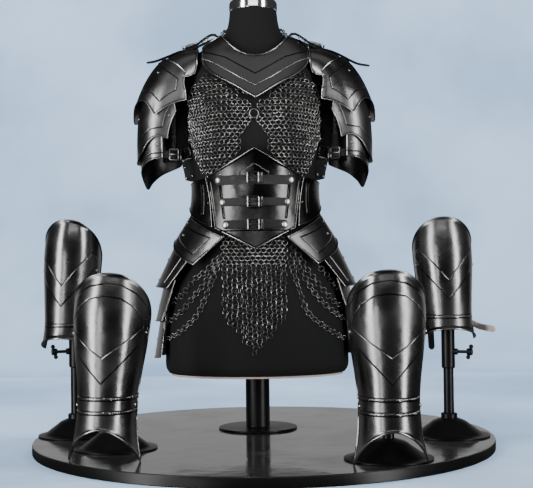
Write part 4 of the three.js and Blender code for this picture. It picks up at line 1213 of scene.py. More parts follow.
# ------------------------------------------------------------------ straps and buckles
def strap(path: np.ndarray, across: Sequence, up: Sequence, width: float,
          tips: tuple[float, float] = (0.0, 0.0)) -> Part:
    """A leather band whose upper face runs along the path, with rounded tips of the given lengths."""
    half = width / 2
    profile = rounded([(-half, 0), (half, 0), (half, -STRAP_WALL), (-half, -STRAP_WALL)], 0.9, steps=3)
    length = along(path)
    scale = np.ones(len(length))
    for tip, left in zip(tips, (length, length[-1] - length)):
        if tip:
            t = np.clip(left / tip, 0.02, 1)
            scale = np.minimum(scale, np.sqrt(np.maximum(0.02, 1 - (1 - t) ** 2)))
    return sweep(path, across, up, profile, scale=scale)


def buckle(centre: Sequence, ahead: Sequence, up: Sequence, length: float = 20.0, width: float = 21.0,
           wire: float = 1.35) -> list[Part]:
    """A square frame with its bar and prong, and a keeper beyond it."""
    up = unit(up)
    ahead = unit(np.asarray(ahead, float) - up * (np.asarray(ahead, float) @ up))
    side = np.cross(up, ahead)
    centre = np.asarray(centre, float) + up * wire
    corners = [(-length / 2, -width / 2), (length / 2, -width / 2), (length / 2, width / 2),
               (-length / 2, width / 2)]
    frame_line = rounded(corners, 2.6, steps=4)
    loop = centre + frame_line[:, :1] * ahead + frame_line[:, 1:] * side
    reach = np.linspace(-length / 2, length / 2 + 0.8, 9)[:, None]
    hump = (np.sin(np.linspace(0, np.pi, 9)) * 0.9 + 0.7)[:, None]
    edge = width / 2 - 1
    keeper = rounded([(-edge, 0.9), (edge, 0.9), (edge, -2.8), (-edge, -2.8)], 1.0, steps=3)
    keeper_loop = centre + ahead * (length / 2 + 6) + keeper[:, :1] * side + keeper[:, 1:] * up
    flat = rounded([(-0.5, -2.0), (0.5, -2.0), (0.5, 2.0), (-0.5, 2.0)], 0.3, steps=2)
    out = unit(keeper_loop - keeper_loop.mean(0))
    return [tube(loop, wire, 8, closed=True),
            tube(centre + reach * ahead + hump * up, wire * 0.8, 6),
            sweep(keeper_loop, out, np.broadcast_to(ahead, keeper_loop.shape), flat, closed=True)]


def make_strap(finishes: Finishes, node: str, bands: Sequence[Part], metal: Sequence[Part] = (),
               tan: Sequence[Part] = (), bright: Sequence[Part] = (), worn: bool = False) -> None:
    """Makes a strap and, beside it, its metal fittings.

    Args:
        finishes: the scene's materials.
        node: the CAD piece that the strap stands for.
        bands: its black leather.
        metal: its dark fittings.
        tan: its tan leather.
        bright: its bright fittings.
        worn: whether the black leather is rubbed grey.
    """
    piece = Piece(f"{node}_leather", node).add(*bands)
    piece.add(*tan, finish=1).build(finishes.worn_leather if worn else finishes.leather, finishes.tan)
    if metal or bright:
        fittings = Piece(f"{node}_fittings", node, "plate_steel").add(*metal)
        fittings.add(*bright, finish=1).build(finishes.hardware, finishes.bright, stands_for_node=False)


@dataclass(frozen=True)
class ShoulderStrap:
    """The strap from the collar over a shoulder guard, doubled to its buckle, with a long tongue."""

    side: Side
    tip: tuple[float, float]
    y: float = -9.0
    under: tuple = ((70, 789), (88, 783), (106, 774.5), (122, 767.5), (146, 763), (168, 754.5))
    over: tuple = ((69, 792), (82, 796), (100, 786), (114, 776), (136, 768.5))
    bend: tuple[float, float] = (172, 757)     # where the tongue leaves the guard
    seat: tuple[float, float] = (122, 772.5)
    tilt: float = math.radians(14)             # how far the buckle is tipped
    links: tuple = ((92, 785), (102, 780))
    link_y: float = -18.0

    def build(self, finishes: Finishes) -> None:
        """Makes both layers, the buckle, a rivet and two links."""
        side, (tip_x, tip_z), (bend_x, bend_z) = self.side.value, self.tip, self.bend
        tongue = ((bend_x + 0.55 * (tip_x - bend_x), bend_z + 0.8 * (tip_z - bend_z)), self.tip)
        bands = [self._layer((*self.under, *tongue), 8.0), self._layer(self.over, 3.0)]
        ahead = np.array([side * math.cos(self.tilt), 0, -math.sin(self.tilt)])
        up = np.array([side * math.sin(self.tilt), 0, math.cos(self.tilt)])
        metal = buckle(self._at(*self.seat), ahead, up, 22, 23, 1.7)
        metal.append(domes([self._at(76, 795.0)], [(0, 0, 1)], 3.2))
        metal += [copies(LINK, [FIGURE.apply((side * x, self.link_y, z))], [basis((side * 0.5, -0.6, 0.6))])
                  for x, z in self.links]
        make_strap(finishes, f"shoulder_strap_{self.side.word}", bands, bright=metal)

    def _at(self, x: float, z: float) -> np.ndarray:
        """The world place at x towards this side and z up."""
        return FIGURE.apply((self.side.value * x, self.y, z))

    def _layer(self, line: Sequence, tip: float) -> Part:
        """One layer of leather along a line in X and Z."""
        path = smooth_path([(self.side.value * x, self.y, z) for x, z in line], 2.5)
        up = unit(np.cross(unit(np.gradient(path, axis=0)), (0, 1.0, 0)))
        up *= np.sign(up[:, 2:3])
        return strap(FIGURE.apply(path), (0, 1, 0), up, STRAP_WIDTH, tips=(3.0, tip))


@dataclass(frozen=True)
class ArmStrap:
    """The strap that closes the upper arm on the body's side, and the leather that hangs under the arm."""

    side: Side
    x: float = 181.0
    z: float = 556.0
    round_arm: tuple[float, float] = (43, 47.5)         # half sizes across and along Y
    seat: int = 12                                      # the point of the path where the buckle sits
    drop: tuple = ((143, 4, 650), (142, -3, 605), (136, -8, 560), (129, -9, 535), (123, -7, 505))
    drop_width: float = 27.0
    drop_rivets: tuple = ((123, 516), (134, 512), (137, 533))

    def build(self, finishes: Finishes) -> None:
        """Makes the strap, the drop and their fittings."""
        side, (wide, deep) = self.side.value, self.round_arm
        angle = np.radians(np.linspace(84, 276, 60))
        out = np.stack([side * np.cos(angle), -np.sin(angle), 0 * angle], -1)
        path = np.array([side * self.x, 0, self.z]) + out * [wide, deep, 0]
        up = unit(out / [wide, deep, 1])
        world = FIGURE.apply(path)
        drop = smooth_path([(side * x, y, z) for x, y, z in self.drop], 3.0)
        rivets = [FIGURE.apply((side * x, -9.3, z)) for x, z in self.drop_rivets]
        metal = buckle(world[self.seat], path[self.seat + 1] - path[self.seat - 1], up[self.seat])
        metal += buckle(FIGURE.apply((side * 137, -9.5, 562)), (-side * 0.25, 0, -1), (0, -1, 0), 16, 20)
        metal.append(domes(rivets, [(0, -1, 0)] * len(rivets), 2.4))
        make_strap(finishes, f"arm_strap_{self.side.word}", [
            strap(world, (0, 0, 1), up, STRAP_WIDTH),
            strap(FIGURE.apply(drop), (1, 0, 0), (0, -1, 0), self.drop_width, tips=(5.0, 3.0))], metal)


# ------------------------------------------------------------------ limb guards and their stands
def guard_band(skin: LimbSkin, z: float) -> Part:
    """The stretch of a guard's strap that runs round its open back."""
    angles = np.linspace(82, 278, 60)
    return strap(skin.at(angles, z), (0, 0, 1), skin.normal(angles, z), STRAP_WIDTH)


def buckled_strap(finishes: Finishes, node: str, skin: LimbSkin, z: float) -> None:
    """Makes a guard's strap with its buckle behind."""
    metal = buckle(skin.at(200.0, z), skin.at(203.0, z) - skin.at(197.0, z), skin.normal(200.0, z))
    make_strap(finishes, node, [guard_band(skin, z)], metal)


def loose_end(place: Place, path: np.ndarray, across: Sequence) -> Part:
    """A free strap end, 12 mm wide, its path given in the guard's frame."""
    ahead = unit(np.gradient(path, axis=0))
    up = unit(np.cross(ahead, np.asarray(across, float)))
    up *= np.where(up[:, 1:2] > 0, -1.0, 1.0)
    world = place.apply(path) + place.aim(up) * STRAP_WALL / 2
    return strap(world, place.aim(np.asarray(across, float)), place.aim(up), 12.0, tips=(0.0, 7.0))


def foot_profile(radius: float, rise: float = 33.0, top: float = 15.0) -> list:
    """The profile of a stand's domed foot up to its collar."""
    shares = ((1, 2.2), (0.85, 4.2), (0.77, 7.6), (0.68, 12.5), (0.51, 21.5), (0.41, 27), (0.3, 30.6))
    middle = read_curve(range(8), [*((radius * share, z) for share, z in shares), (top, rise)],
                        np.linspace(0, 7, 29))
    return [(radius - 0.8, FLOOR), (radius, FLOOR + 0.8), *((r, FLOOR + z) for r, z in middle)]


@dataclass(frozen=True)
class ClampScrew:
    """A sleeve's screw with its cross handle, from the post's axis outwards."""

    height: float = 174.0
    aim: float = math.radians(25)            # how far it points to the front
    handle_turn: float = math.radians(50)    # how far the handle is turned from upright
    boss: tuple = (11, 18, 6)                # start, end and radius
    shank: tuple = (13.4, 37, 3)
    hub: tuple = (36, 46, 6.5)
    handle: tuple = (14, 2.6, 4.2)           # half length, radius and the radius of its balls
    handle_at: float = 41.0

    def parts(self, hole: np.ndarray, side: int) -> tuple[Part, list[Part]]:
        """The boss on the sleeve, and the screw."""
        outward = np.array([side * math.cos(self.aim), -math.sin(self.aim), 0])
        sideways = np.array([side * math.sin(self.aim), math.cos(self.aim), 0])
        across = sideways * math.sin(self.handle_turn) + np.array([0, 0, math.cos(self.handle_turn)])
        middle = hole + outward * self.handle_at
        reach, thick, knob = self.handle
        start, end = middle - across * reach, middle + across * reach
        boss, shank, hub = ((hole + outward * a, hole + outward * b, r) for a, b, r in
                            (self.boss, self.shank, self.hub))
        return rod(*boss, 20), [rod(*shank, 14), rod(*hub), rod(start, end, thick, 12), ball(start, knob),
                                ball(end, knob)]


@dataclass(frozen=True)
class ForearmGuard:
    """A forearm guard with its straps, on a stand whose sleeve slides on a post."""

    side: Side
    x: float
    y: float
    foot: float                # the stand's foot radius
    raised: float              # how far the sleeve is up
    shift: float = 0.0
    turn: float = 0.0
    lean: float = 0.0
    stretch: float = 1.0       # how much longer the guard is than its table
    undone: bool = False       # whether the lower strap hangs open
    crown: float = 424.0
    edge: tuple = ((0, 424, 0, 217), (30, 420, 30, 215), (56, 407, 56, 209), (80, 388, 80, 201),
                   (104, 362, 100, 196.5))
    lines: tuple = ((((0, 309), (35, 345), (62, 366)), ((0, 275), (45, 318), (84, 352))),
                    (((0, 243), (120, 243)), ((0, 239), (120, 239))),
                    (((0, 223), (30, 221), (56, 215), (80, 207), (120, 201)), ((0, 150), (120, 150))))
    straps: tuple[float, float] = (240, 335)
    strap_back: float = 44.0
    screw: ClampScrew = ClampScrew()

    def build(self, finishes: Finishes) -> None:
        """Makes the stand, the guard and the straps."""
        self._stand(finishes)
        self._plate().build(finishes.guard)
        skin = self.skin(inset=PLATE_WALL + 1.5, back=self.strap_back)
        for i, z in enumerate(self.straps):
            node = f"vambrace_strap_{self.side.word}_{i + 1}"
            if self.undone and i == 0:
                self._open_strap(finishes, node, skin, self.longer(z))
            else:
                buckled_strap(finishes, node, skin, self.longer(z))

    def longer(self, z: float) -> float:
        """A height on the guard, pulled down from its top edge."""
        return self.crown - (self.crown - z) * self.stretch

    def skin(self, **extra: float) -> LimbSkin:
        """The guard's surface."""
        table = SmoothTable("z half front back", *((self.longer(z), *rest) for z, *rest in VAMBRACE_ROWS))
        place = Place(self.x + self.shift, self.y, self.raised, self.turn)
        return LimbSkin(place=place, table=table, lean=self.lean, **extra)

    def _plate(self) -> Plate:
        """The guard with its two chevrons, a band above the wrist and a line beside the hem."""
        stations = both_sides([(a, self.longer(b), c, self.longer(d)) for a, b, c, d in self.edge])
        outlines = tuple(band(*(both_ways([(p, self.longer(z)) for p, z in line]) for line in pair))
                         for pair in self.lines)
        rivets = tuple(Rivet(s * 78, self.longer(z), 3.0) for s in (-1, 1) for z in self.straps)
        return Plate(f"vambrace_{self.side.word}", self.skin(), stations, flare=3.5, roll=1.8,
                     raised=outlines, rivets=rivets)

    def _open_strap(self, finishes: Finishes, node: str, skin: LimbSkin, z: float) -> None:
        """Makes the undone strap: a tan end to the side and a black one that hangs down."""
        aside = smooth_path([(33, 14, 236), (46, 14, 227), (60, 3, 220), (82, -32, 216)], 2.0)
        hanging = smooth_path([(-29, 31.5, 236), (-27, 33, 205), (-26, 31, 175)], 2.0)
        make_strap(finishes, node, [guard_band(skin, z), loose_end(skin.place, hanging, (1, 0, 0))],
                   tan=[loose_end(skin.place, aside, (0, 0, 1))])

    def _stand(self, finishes: Finishes) -> None:
        """Makes the foot with its post, the sleeve with its padded head, and the clamp screw."""
        word = self.side.word
        base = np.array([self.x, self.y, 0.0])
        lifted = base + [0, 0, self.raised]
        post = [*foot_profile(self.foot), (15, 58.8), (14, 60), (9.5, 60.6), (9.5, 299), (8.6, 300)]
        sleeve = rounded([(10.6, 143), (12.5, 143.8), (12.5, 296), (31, 302), (36, 310), (36, 379), (31, 386),
                          (2, 386)], 3.0, closed=False)
        boss, screw = self.screw.parts(lifted + [0, 0, self.screw.height], self.side.value)
        for name, parts in (("base", [lathe(post, 56, base)]), ("sleeve", [lathe(sleeve, 48, lifted), boss]),
                            ("screw", screw)):
            node = f"arm_stand_{name}_{word}"
            Piece(f"{node}_paint", node).add(*parts).build(finishes.paint)


@dataclass(frozen=True)
class ShinGuard:
    """A shin guard with its straps, on a stand whose short arm ends in a pad."""

    side: Side
    x: float
    y: float
    turn: float
    lean: float
    base_x: float
    base_y: float
    edge: tuple = ((0, 330, 0, 76), (28, 326, 22, 71), (52, 313, 46, 58), (76, 292, 70, 38),
                   (94, 268, 86, 22), (102, 252, 93, FLOOR))
    lines: tuple = ((((0, 192), (40, 221), (78, 246)), ((0, 152), (45, 196), (86, 238))),
                    (((0, 128.5), (120, 128.5)), ((0, 124.5), (120, 124.5))),
                    (((0, 106), (120, 106)), ((0, 102), (120, 102))),
                    (((0, 312), (27, 308), (50, 295), (73, 273), (90, 250), (112, 215)),
                     ((0, 293), (24, 289), (46, 274), (64, 252), (78, 228), (105, 190))))
    straps: tuple[float, float] = (113, 231)
    strap_back: float = 37.0
    pad_z: float = 262.0
    pad_gap: float = 4.5               # from the pad to the guard's inner face

    def build(self, finishes: Finishes) -> None:
        """Makes the stand, the guard and the straps."""
        self._stand(finishes)
        outlines = tuple(band(*(both_ways(line) for line in pair)) for pair in self.lines)
        rivets = tuple(Rivet(s * 80, z, 3.2) for s in (-1, 1) for z in self.straps)
        Plate(f"greave_{self.side.word}", self.skin(), both_sides(self.edge), roll=1.6, raised=outlines,
              rivets=rivets).build(finishes.guard)
        skin = self.skin(inset=PLATE_WALL + 1.5, back=self.strap_back)
        for i, z in enumerate(self.straps):
            buckled_strap(finishes, f"greave_strap_{self.side.word}_{i + 1}", skin, z)

    def skin(self, **extra: float) -> LimbSkin:
        """The guard's surface."""
        return LimbSkin(place=Place(self.x, self.y, 0, self.turn), lean=self.lean, table=GREAVE, **extra)

    def _stand(self, finishes: Finishes) -> None:
        """Makes the foot with its post, the arm and the pad."""
        facing = np.array([math.sin(math.radians(self.turn)), -math.cos(math.radians(self.turn)), 0])
        reach = GREAVE.read("front", np.array(self.pad_z)) - PLATE_WALL - self.pad_gap
        axis = self.x + self.lean * (self.pad_z - GREAVE.rows[0, 0])
        face = np.array([axis, self.y, self.pad_z]) + facing * reach
        post = [*foot_profile(74, 34, 9.5), (9.5, 268), (8.6, 270), (6.5, 271)]
        elbow = np.array([self.base_x, self.base_y, self.pad_z])
        node = f"leg_stand_{self.side.word}"
        Piece(f"{node}_paint", node).add(
            lathe(post, 56, np.array([self.base_x, self.base_y, 0.0])), rod(elbow, face - facing * 5, 6),
            rod(face - facing * 6, face, 14, 24)).build(finishes.paint)


# ------------------------------------------------------------------ mail and chains
RING = torus(5.4, 0.5, around=16, sides=4)
LINK = torus(3.6, 1.05, stretch=2.0, around=14, sides=6)
COLUMN, ROW = 10.3, 7.2              # from ring to ring and from row to row
LEANING = 24.0                       # how far a row of rings leans, in degrees
RING_SLANT, RING_STRAY = 7.0, 0.35   # how much one ring differs, in degrees and millimetres
LINK_SWING = 13.0
WOVEN_SEED = 5


def leaning_rings(centres: np.ndarray, across: np.ndarray, normals: np.ndarray, odd: bool,
                  random: np.random.Generator) -> tuple[np.ndarray, np.ndarray]:
    """Places and axes of a woven row, leaning one way in odd rows and the other way in even ones."""
    across = unit(across - normals * (across * normals).sum(-1, keepdims=True))
    down = np.cross(normals, across)
    count = len(centres)
    slant = np.radians(random.normal(0, RING_SLANT, (count, 1)))
    across, down = (across * np.cos(slant) + down * np.sin(slant),
                    down * np.cos(slant) - across * np.sin(slant))
    turn = np.radians((LEANING if odd else -LEANING) + random.normal(0, RING_SLANT, (count, 1)))
    face = down * np.cos(turn) + normals * np.sin(turn)
    centres = centres + random.normal(0, RING_STRAY, (count, 3))
    return centres, np.stack([across, face, np.cross(across, face)], 1)


def woven(surface: Surface, heights: np.ndarray, reach: tuple[float, float, float],
          keep: Callable[[np.ndarray, np.ndarray], np.ndarray]) -> Part:
    """Mail of rings in rows over a surface, each row half a ring along from the last.

    Args:
        surface: where the rings' middles lie.
        heights: q of each row, from the top.
        reach: the lowest, middle and highest p of the rows.
        keep: tells from (p, q) which rings there are.

    Returns:
        All the rings.
    """
    random = np.random.default_rng(WOVEN_SEED)
    p = np.linspace(reach[0], reach[2], 400)
    step = 0.4
    centres, axes = [], []
    for number, q in enumerate(heights):
        length = along(surface.at(p, q))
        middle = np.interp(reach[1], p, length)
        count = int(length[-1] / COLUMN) + 2
        places = middle + COLUMN * (np.arange(-count, count + 1) + 0.5 * (number % 2))
        places = places[(places > 0) & (places < length[-1])]
        there = np.interp(places, length, p)
        there = there[keep(there, np.full(len(there), q))]
        if not len(there):
            continue
        across = surface.at(there + step, q) - surface.at(there - step, q)
        row = leaning_rings(surface.at(there, q), across, surface.normal(there, q), bool(number % 2), random)
        centres.append(row[0])
        axes.append(row[1])
    return copies(RING, np.concatenate(centres), np.concatenate(axes))


def rows_down(surface: Surface, p: float, top: float, bottom: float) -> np.ndarray:
    """Heights a row apart along the surface at one p."""
    q = np.linspace(top, bottom, 300)
    length = along(surface.at(p, q))
    return np.interp(np.arange(0, length[-1], ROW), length, q)


def chain(path: np.ndarray, normals: np.ndarray, pitch: float, template: Part, twist: tuple[float, float],
          start: float = 0.5, seed: int = 0) -> Part:
    """Links along a path, each turned the other way from the last.

    Args:
        path: the chain's middle line.
        normals: the directions away from what it lies on.
        pitch: the distance from link to link.
        template: one link.
        twist: how far odd and even links are turned about the path, in degrees.
        start: where the first link is, in pitches.
        seed: the start of the small random turns.

    Returns:
        All the links.
    """
    random = np.random.default_rng(seed)
    path, normals = np.asarray(path, float), np.asarray(normals, float)
    length, number = along(path), np.arange(len(path))
    places = np.arange(pitch * start, length[-1], pitch)
    share = np.interp(places, length, number)
    ahead, normal = (np.stack([np.interp(share, number, column) for column in rows.T], -1)
                     for rows in (np.gradient(path, axis=0), normals))
    ahead = unit(ahead)
    side = unit(np.cross(ahead, normal))
    normal = np.cross(side, ahead)
    turn = np.where(np.arange(len(places)) % 2, *twist) + random.normal(0, LINK_SWING, len(places))
    turn = np.radians(turn)[:, None]
    face = side * np.cos(turn) + normal * np.sin(turn)
    return copies(template, resample(path, places), np.stack([ahead, face, np.cross(ahead, face)], 1))


@dataclass(frozen=True)
class MailTop:
    """The mail over the chest, open between the breasts below the ring that joins its two sides."""

    half: tuple = ((0, 636, 611), (9, 638, 606), (18, 648, 592), (28, 658, 545), (50, 680, 526),
                   (72, 700, 513), (88, 707, 509), (97, 706, 522), (106, 698, 541), (115, 687, 563),
                   (126, 664, 594), (133, 640, 618))                    # |x|, top and bottom
    reach: float = 127.5
    rows: tuple[float, float, float] = (60.0, 711, 500)
    ring: tuple[float, float] = (0.5, 623.0)
    ring_clear: float = 13.5
    ring_offset: float = 9.6

    def build(self, finishes: Finishes) -> None:
        """Makes the mail and its big ring."""
        surface = BodySkin(offset=MAIL_OFF, by_place=True)
        rings = woven(surface, rows_down(surface, *self.rows), (-self.reach, 0.0, self.reach), self._there)
        Piece("mail_top_rings", "mail_top").add(rings).build(finishes.mail)
        centre = BodySkin(offset=self.ring_offset, by_place=True).at(*self.ring)
        ring = copies(torus(8.3, 1.0, around=32, sides=8), [centre], [basis((0, -1, 0))])
        Piece("bust_ring_wire", "bust_ring").add(ring).build(finishes.chain)

    def _there(self, p: np.ndarray, q: np.ndarray) -> np.ndarray:
        """Which rings there are: between the two edges or under the collar, clear of the big ring."""
        x, high, low = np.array(self.half, float).T
        top, bottom = np.interp(abs(p), x, high), np.interp(abs(p) - 5, x, low)
        under_collar = (abs(p) < 34) & (q < 668 + 0.45 * abs(p)) & (q > 657 + 0.35 * abs(p))
        clear = np.hypot(p - self.ring[0], q - self.ring[1]) > self.ring_clear
        return clear & (((q < top + 1) & (q > bottom)) | under_collar)


@dataclass(frozen=True)
class MailBand:
    """The strip of mail round the back."""

    rows: tuple[float, float, float] = (120.0, 604, 568)
    reach: tuple[float, float, float] = (84, 180.0, 276)

    def build(self, finishes: Finishes) -> None:
        """Makes the rings."""
        surface = BodySkin(offset=MAIL_OFF)
        rings = woven(surface, rows_down(surface, *self.rows), self.reach, lambda p, q: p > 0)
        Piece("mail_band_rings", "mail_band").add(rings).build(finishes.mail)


@dataclass(frozen=True)
class MailSkirt:
    """The woven top below the corset's point and the chain ends that hang from it."""

    hems: tuple = (236, 225, 218, 208, 195, 184, 168, 180, 192, 202, 212, 230, 237)
    left: float = -58.0
    pitch: float = 9.2
    split: float = 344.0               # where the woven top ends
    link_pitch: float = 8.3
    twist: tuple[float, float] = (28.0, -34.0)

    def build(self, finishes: Finishes) -> None:
        """Makes the rings."""
        surface = BodySkin(offset=MAIL_OFF, by_place=True)
        parts = [woven(surface, rows_down(surface, 0.0, 402, self.split), (-70, 0.0, 70), self._there)]
        for i, hem in enumerate(self.hems):
            z = np.arange(self.split, hem, -2.0)
            x = self.left + i * self.pitch + 1.2 * np.sin(z * 0.11 + i * 1.9)
            parts.append(chain(surface.at(x, z), surface.normal(x, z), self.link_pitch, RING, self.twist,
                               0.4 + 0.37 * i % 1, i))
        Piece("mail_skirt_rings", "mail_skirt").add(*parts).build(finishes.mail)

    def _there(self, p: np.ndarray, q: np.ndarray) -> np.ndarray:
        """Which rings the woven top has."""
        return (q < 374 + abs(p) * 0.42) & (abs(p + 2.8) < 60)


@dataclass(frozen=True)
class HipChains:
    """Chains that swing from the skirt to one hip, each through its start, its low point and its end."""

    side: Side
    swags: tuple
    offset: float = 5.2
    sag: float = 5.0
    pitch: float = 8.4
    twist: tuple[float, float] = (42.0, -44.0)

    def build(self, finishes: Finishes) -> None:
        """Makes the links."""
        surface = BodySkin(offset=self.offset, by_place=True)
        parts = []
        for seed, (start, low, end) in enumerate(self.swags):
            x, z = smooth_path([start, self._bow(start, low), low, self._bow(low, end), end], 3.0).T
            parts.append(chain(surface.at(x, z), surface.normal(x, z), self.pitch, RING, self.twist,
                               seed=seed))
        node = f"hip_chains_{self.side.word}"
        Piece(f"{node}_links", node).add(*parts).build(finishes.chain)

    def _bow(self, a: Sequence, b: Sequence) -> tuple[float, float]:
        """The middle of two places, sagged."""
        return (a[0] + b[0]) / 2, (a[1] + b[1]) / 2 - self.sag


@dataclass(frozen=True)
class NeckChain:
    """The chain that closes the collar behind the neck."""

    half: tuple = ((67, -34, 783), (66, -14, 787), (61.5, 6, 799), (56, 21, 808), (38, 46, 817), (0, 59, 822))
    pitch: float = 8.0
    twist: tuple[float, float] = (45.0, -45.0)

    def build(self, finishes: Finishes) -> None:
        """Makes the links."""
        path = smooth_path([*self.half, *((-x, y, z) for x, y, z in self.half[-2::-1])], 2.0)
        links = chain(FIGURE.apply(path), unit(path * [1, 1, 0]), self.pitch, LINK, self.twist)
        Piece("neck_chain_links", "neck_chain").add(links).build(finishes.bright)


# ------------------------------------------------------------------ form and platform
@dataclass(frozen=True)
class DressForm:
    """The covered torso with the board under it, the chromed neck cap and the pole."""

    bottom: float = 129.3
    tuck: float = 0.985                # how much the cover draws in under its lowest edge
    board_inset: float = -4.0
    board: tuple = ((0.994, 125), (1, 125.8), (1, 128.2), (0.994, 129))
    cap: tuple = ((46.4, 841.3), (47.5, 842.4), (47.5, 856.4), (46.6, 857.8), (45, 861.2), (39.5, 864.3),
                  (33, 866.8), (24, 870), (15, 873.2), (1.5, 875))
    pole: tuple = ((76.4, FLOOR), (77, 19), (77, 21.2), (75.8, 21.8), (24.4, 22.6), (23.5, 23.4),
                   (23.5, 124.7))

    def build(self, finishes: Finishes) -> None:
        """Makes the four pieces."""
        angles = np.arange(-180, 180, 2.5)
        skin, middle = BodySkin(), FIGURE.apply((0, 0, 0))
        heights = np.concatenate([[130.4], np.linspace(132, 690, 112), np.linspace(694, 841, 56)])
        rings = [(skin.at(angles, self.bottom) - middle) * [self.tuck, self.tuck, 1] + middle]
        rings += [skin.at(angles, z) for z in heights]
        Piece("dress_form_cloth", "dress_form").add(stack(rings)).build(finishes.cloth)
        edge = BodySkin(offset=self.board_inset).at(angles, self.bottom)
        layers = [(middle + (edge - middle) * [share, share, 0]) * [1, 1, 0] + [0, 0, z]
                  for share, z in self.board]
        Piece("form_board_layers", "form_board").add(stack(layers)).build(finishes.plywood)
        cap = rounded(self.cap, 2.0, closed=False)
        Piece("neck_cap_chrome", "neck_cap").add(lathe(cap, 72, middle)).build(finishes.chrome)
        pole = rounded(self.pole, 0.8, closed=False)
        Piece("main_pole_paint", "main_pole").add(lathe(pole, 72, middle)).build(finishes.paint)


@dataclass(frozen=True)
class Platform:
    """The round platform: a worn glossy top on a plain black rim and body."""

    body: tuple = ((429, 0), (430, 1), (430, 15.8), (429.3, 17.2), (6, 17.2))
    top: tuple = ((429.3, 17.2), (428, 18), (426, 18), (6, 18))

    def build(self, finishes: Finishes) -> None:
        """Makes the platform."""
        piece = Piece("platform_paint", "platform").add(lathe(self.top, 180))
        piece.add(lathe(self.body, 180), finish=1).build(finishes.platform, finishes.paint)


# ------------------------------------------------------------------ studio
@dataclass(frozen=True)
class Paper:
    """The studio's matt blue-grey with very soft clouds, clear from behind so that the back shows."""

    dark: tuple = (0.345, 0.505, 0.71, 1)
    light: tuple = (0.53, 0.725, 0.96, 1)

    def build(self) -> bpy.types.Material:
        """Returns the material."""
        graph = Graph("sweep", Roughness=0.9)
        clouds = graph.ramp(graph.noise(1.5, 4.0), 0.33, 0.67)
        graph.feed(graph.shader.inputs["Base Color"], graph.mix(clouds, self.dark, self.light))
        behind = graph.node("ShaderNodeNewGeometry").outputs["Backfacing"]
        clear = graph.node("ShaderNodeBsdfTransparent").outputs["BSDF"]
        mixed = graph.node("ShaderNodeMixShader", {}, {0: behind, 1: graph.shader.outputs["BSDF"], 2: clear})
        graph.feed(graph.tree.nodes["Material Output"].inputs["Surface"], mixed.outputs["Shader"])
        return graph.material


@dataclass(frozen=True)
class Softbox:
    """A rectangular soft light aimed at a point; the suit may mirror it or not."""

    name: str
    place: tuple[float, float, float]
    target: tuple[float, float, float]
    size: tuple[float, float]
    power: float
    mirrored: bool = True

    def build(self) -> None:
        """Makes the light."""
        data = bpy.data.lights.new(self.name, "AREA")
        data.shape, data.energy = "RECTANGLE", self.power
        data.size, data.size_y = self.size
        light = bpy.data.objects.new(self.name, data)
        light.location = self.place
        light.visible_glossy, light.visible_camera = self.mirrored, False
        aim = Vector(self.target) - Vector(self.place)
        light.rotation_euler = aim.to_track_quat("-Z", "Y").to_euler()
        bpy.context.scene.collection.objects.link(light)


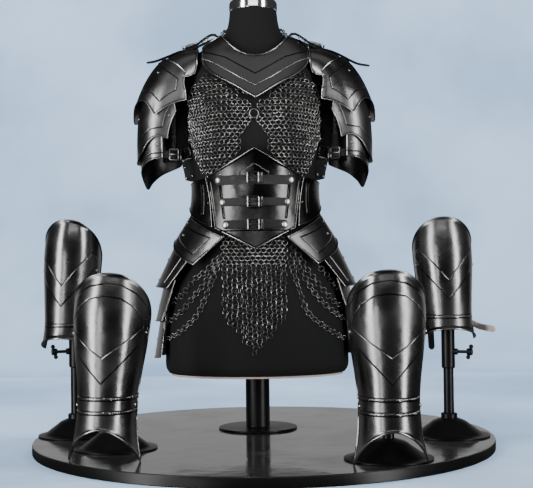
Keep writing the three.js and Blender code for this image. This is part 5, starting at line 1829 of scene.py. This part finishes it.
@dataclass(frozen=True)
class Studio:
    """The pale paper behind, below and in front, the lights and the camera, in metres."""

    half_width: float = 4.5
    paper_drop: float = 0.0005
    front: float = -0.6
    apron_front: float = -5.0
    bend: float = 1.4                  # where the paper starts to rise
    bend_radius: float = 1.1
    top: float = 4.2
    world_colour: tuple = (0.56, 0.56, 0.57, 1)
    world_strength: float = 0.08
    lens: float = 76.6
    camera_at: tuple[float, float, float] = (0.009, -2.152, 0.339)
    pitch: float = math.radians(1.06)
    roll: float = math.radians(-0.7)
    softboxes: tuple[Softbox, ...] = (
        Softbox("left_strip", (-1.9, -1.5, 0.45), (0, 0, 0.4), (0.6, 2.6), 84),
        Softbox("right_strip", (1.9, -1.5, 0.45), (0, 0, 0.4), (0.5, 2.6), 69),
        Softbox("low_left", (-1.1, -1.9, -0.1), (-0.2, -0.2, 0.15), (0.3, 1.0), 7),
        Softbox("front_high", (0, -1.9, 1.25), (0, 0, 0.4), (1.6, 0.35), 6),
        Softbox("top", (0, -0.55, 2.6), (0, 0.05, 0.6), (2.2, 1.3), 3.8),
        Softbox("backdrop_left", (-1.9, 0.5, 2.3), (-0.6, 2.4, 0.7), (1.6, 0.8), 50, mirrored=False),
        Softbox("backdrop_right", (1.9, 0.5, 2.3), (0.6, 2.4, 0.7), (1.6, 0.8), 50, mirrored=False),
        Softbox("rear_wall", (0, 1.36, 0.36), (0, 0, 0.36), (4.4, 0.7), 4.4),
        Softbox("floor_left", (-1.7, -0.6, 2.2), (-1.2, 0.2, 0.0), (1.2, 0.8), 12, mirrored=False),
        Softbox("floor_right", (1.7, -0.6, 2.2), (1.2, 0.2, 0.0), (1.2, 0.8), 12, mirrored=False),
    )

    def build(self) -> None:
        """Makes the paper, the world, the lights and the camera."""
        angles = np.linspace(0.1, np.pi / 2, 14)
        cove = [(self.bend + self.bend_radius * math.sin(a), self.bend_radius * (1 - math.cos(a)))
                for a in angles]
        finish = Paper().build()
        self._sheet("sweep", [(self.front, 0.0), (self.bend, 0.0), *cove,
                              (self.bend + self.bend_radius, self.top)], finish)
        apron = self._sheet("apron", [(self.apron_front, 0.0), (self.front, 0.0)], finish)
        apron.visible_diffuse = apron.visible_shadow = False
        self._world()
        for softbox in self.softboxes:
            softbox.build()
        self._camera()

    def _sheet(self, name: str, profile: Sequence, finish: bpy.types.Material) -> bpy.types.Object:
        """A wide sheet of paper through (y, z) points, which polished plates don't mirror."""
        edges = (-self.half_width, self.half_width)
        vertices = [(x, y, z - self.paper_drop) for y, z in profile for x in edges]
        faces = [(2 * i, 2 * i + 1, 2 * i + 3, 2 * i + 2) for i in range(len(profile) - 1)]
        mesh = bpy.data.meshes.new(name)
        mesh.from_pydata(vertices, [], faces)
        mesh.polygons.foreach_set("use_smooth", [True] * len(faces))
        mesh.materials.append(finish)
        sheet = bpy.data.objects.new(name, mesh)
        sheet.visible_glossy = False
        bpy.context.scene.collection.objects.link(sheet)
        return sheet

    def _world(self) -> None:
        """Makes the dim grey world."""
        world = bpy.data.worlds.new("studio")
        bpy.context.scene.world = world
        world.use_nodes = True
        background = world.node_tree.nodes["Background"].inputs
        background["Color"].default_value = self.world_colour
        background["Strength"].default_value = self.world_strength

    def _camera(self) -> None:
        """Makes the camera in front, a little pitched and rolled."""
        data = bpy.data.cameras.new("camera")
        data.sensor_width, data.lens = 36.0, self.lens
        camera = bpy.data.objects.new("camera", data)
        camera.location = self.camera_at
        aim = Vector((0, math.cos(self.pitch), math.sin(self.pitch))).to_track_quat("-Z", "Y")
        camera.rotation_euler = (aim.to_matrix() @ Matrix.Rotation(self.roll, 3, "Z")).to_euler()
        bpy.context.scene.collection.objects.link(camera)
        bpy.context.scene.camera = camera


SUIT = (
    DressForm(), Platform(), Gorget(), Corset(),
    *(kind(side) for side in Side for kind in (Pauldron, Tasset)),
    ForearmGuard(Side.LEFT, -359, 22, 71, 5, -13, -10, 0.06, 1.085),
    ForearmGuard(Side.RIGHT, 345, -35, 75, 0, lean=-0.05, undone=True),
    ShinGuard(Side.LEFT, -263, -273, -5, 0.066, -262, -140),
    ShinGuard(Side.RIGHT, 204, -333, 0, -0.018, 206, -279),
    ShoulderStrap(Side.LEFT, (212, 742)), ShoulderStrap(Side.RIGHT, (229, 731)),
    ArmStrap(Side.LEFT), ArmStrap(Side.RIGHT),
    MailTop(), MailBand(), MailSkirt(),
    HipChains(Side.LEFT, (((-69, 357), (-116, 314), (-168, 263)), ((-69, 351), (-118, 281), (-171, 231)),
                          ((-69, 345), (-113, 245), (-174, 197)))),
    HipChains(Side.RIGHT, (((106, 362), (139, 316), (168, 284)), ((70, 375), (129, 290), (172, 254)),
                           ((69, 361), (114, 282), (172, 232)), ((66, 346), (97, 250), (170, 196)))),
    NeckChain(),
)


def main() -> None:
    """Builds the whole scene."""
    logging.basicConfig(level=logging.INFO, format="%(name)s: %(message)s")
    finishes = Finishes()
    for assembly in SUIT:
        assembly.build(finishes)
    Studio().build()


if __name__ == "__main__":
    main()
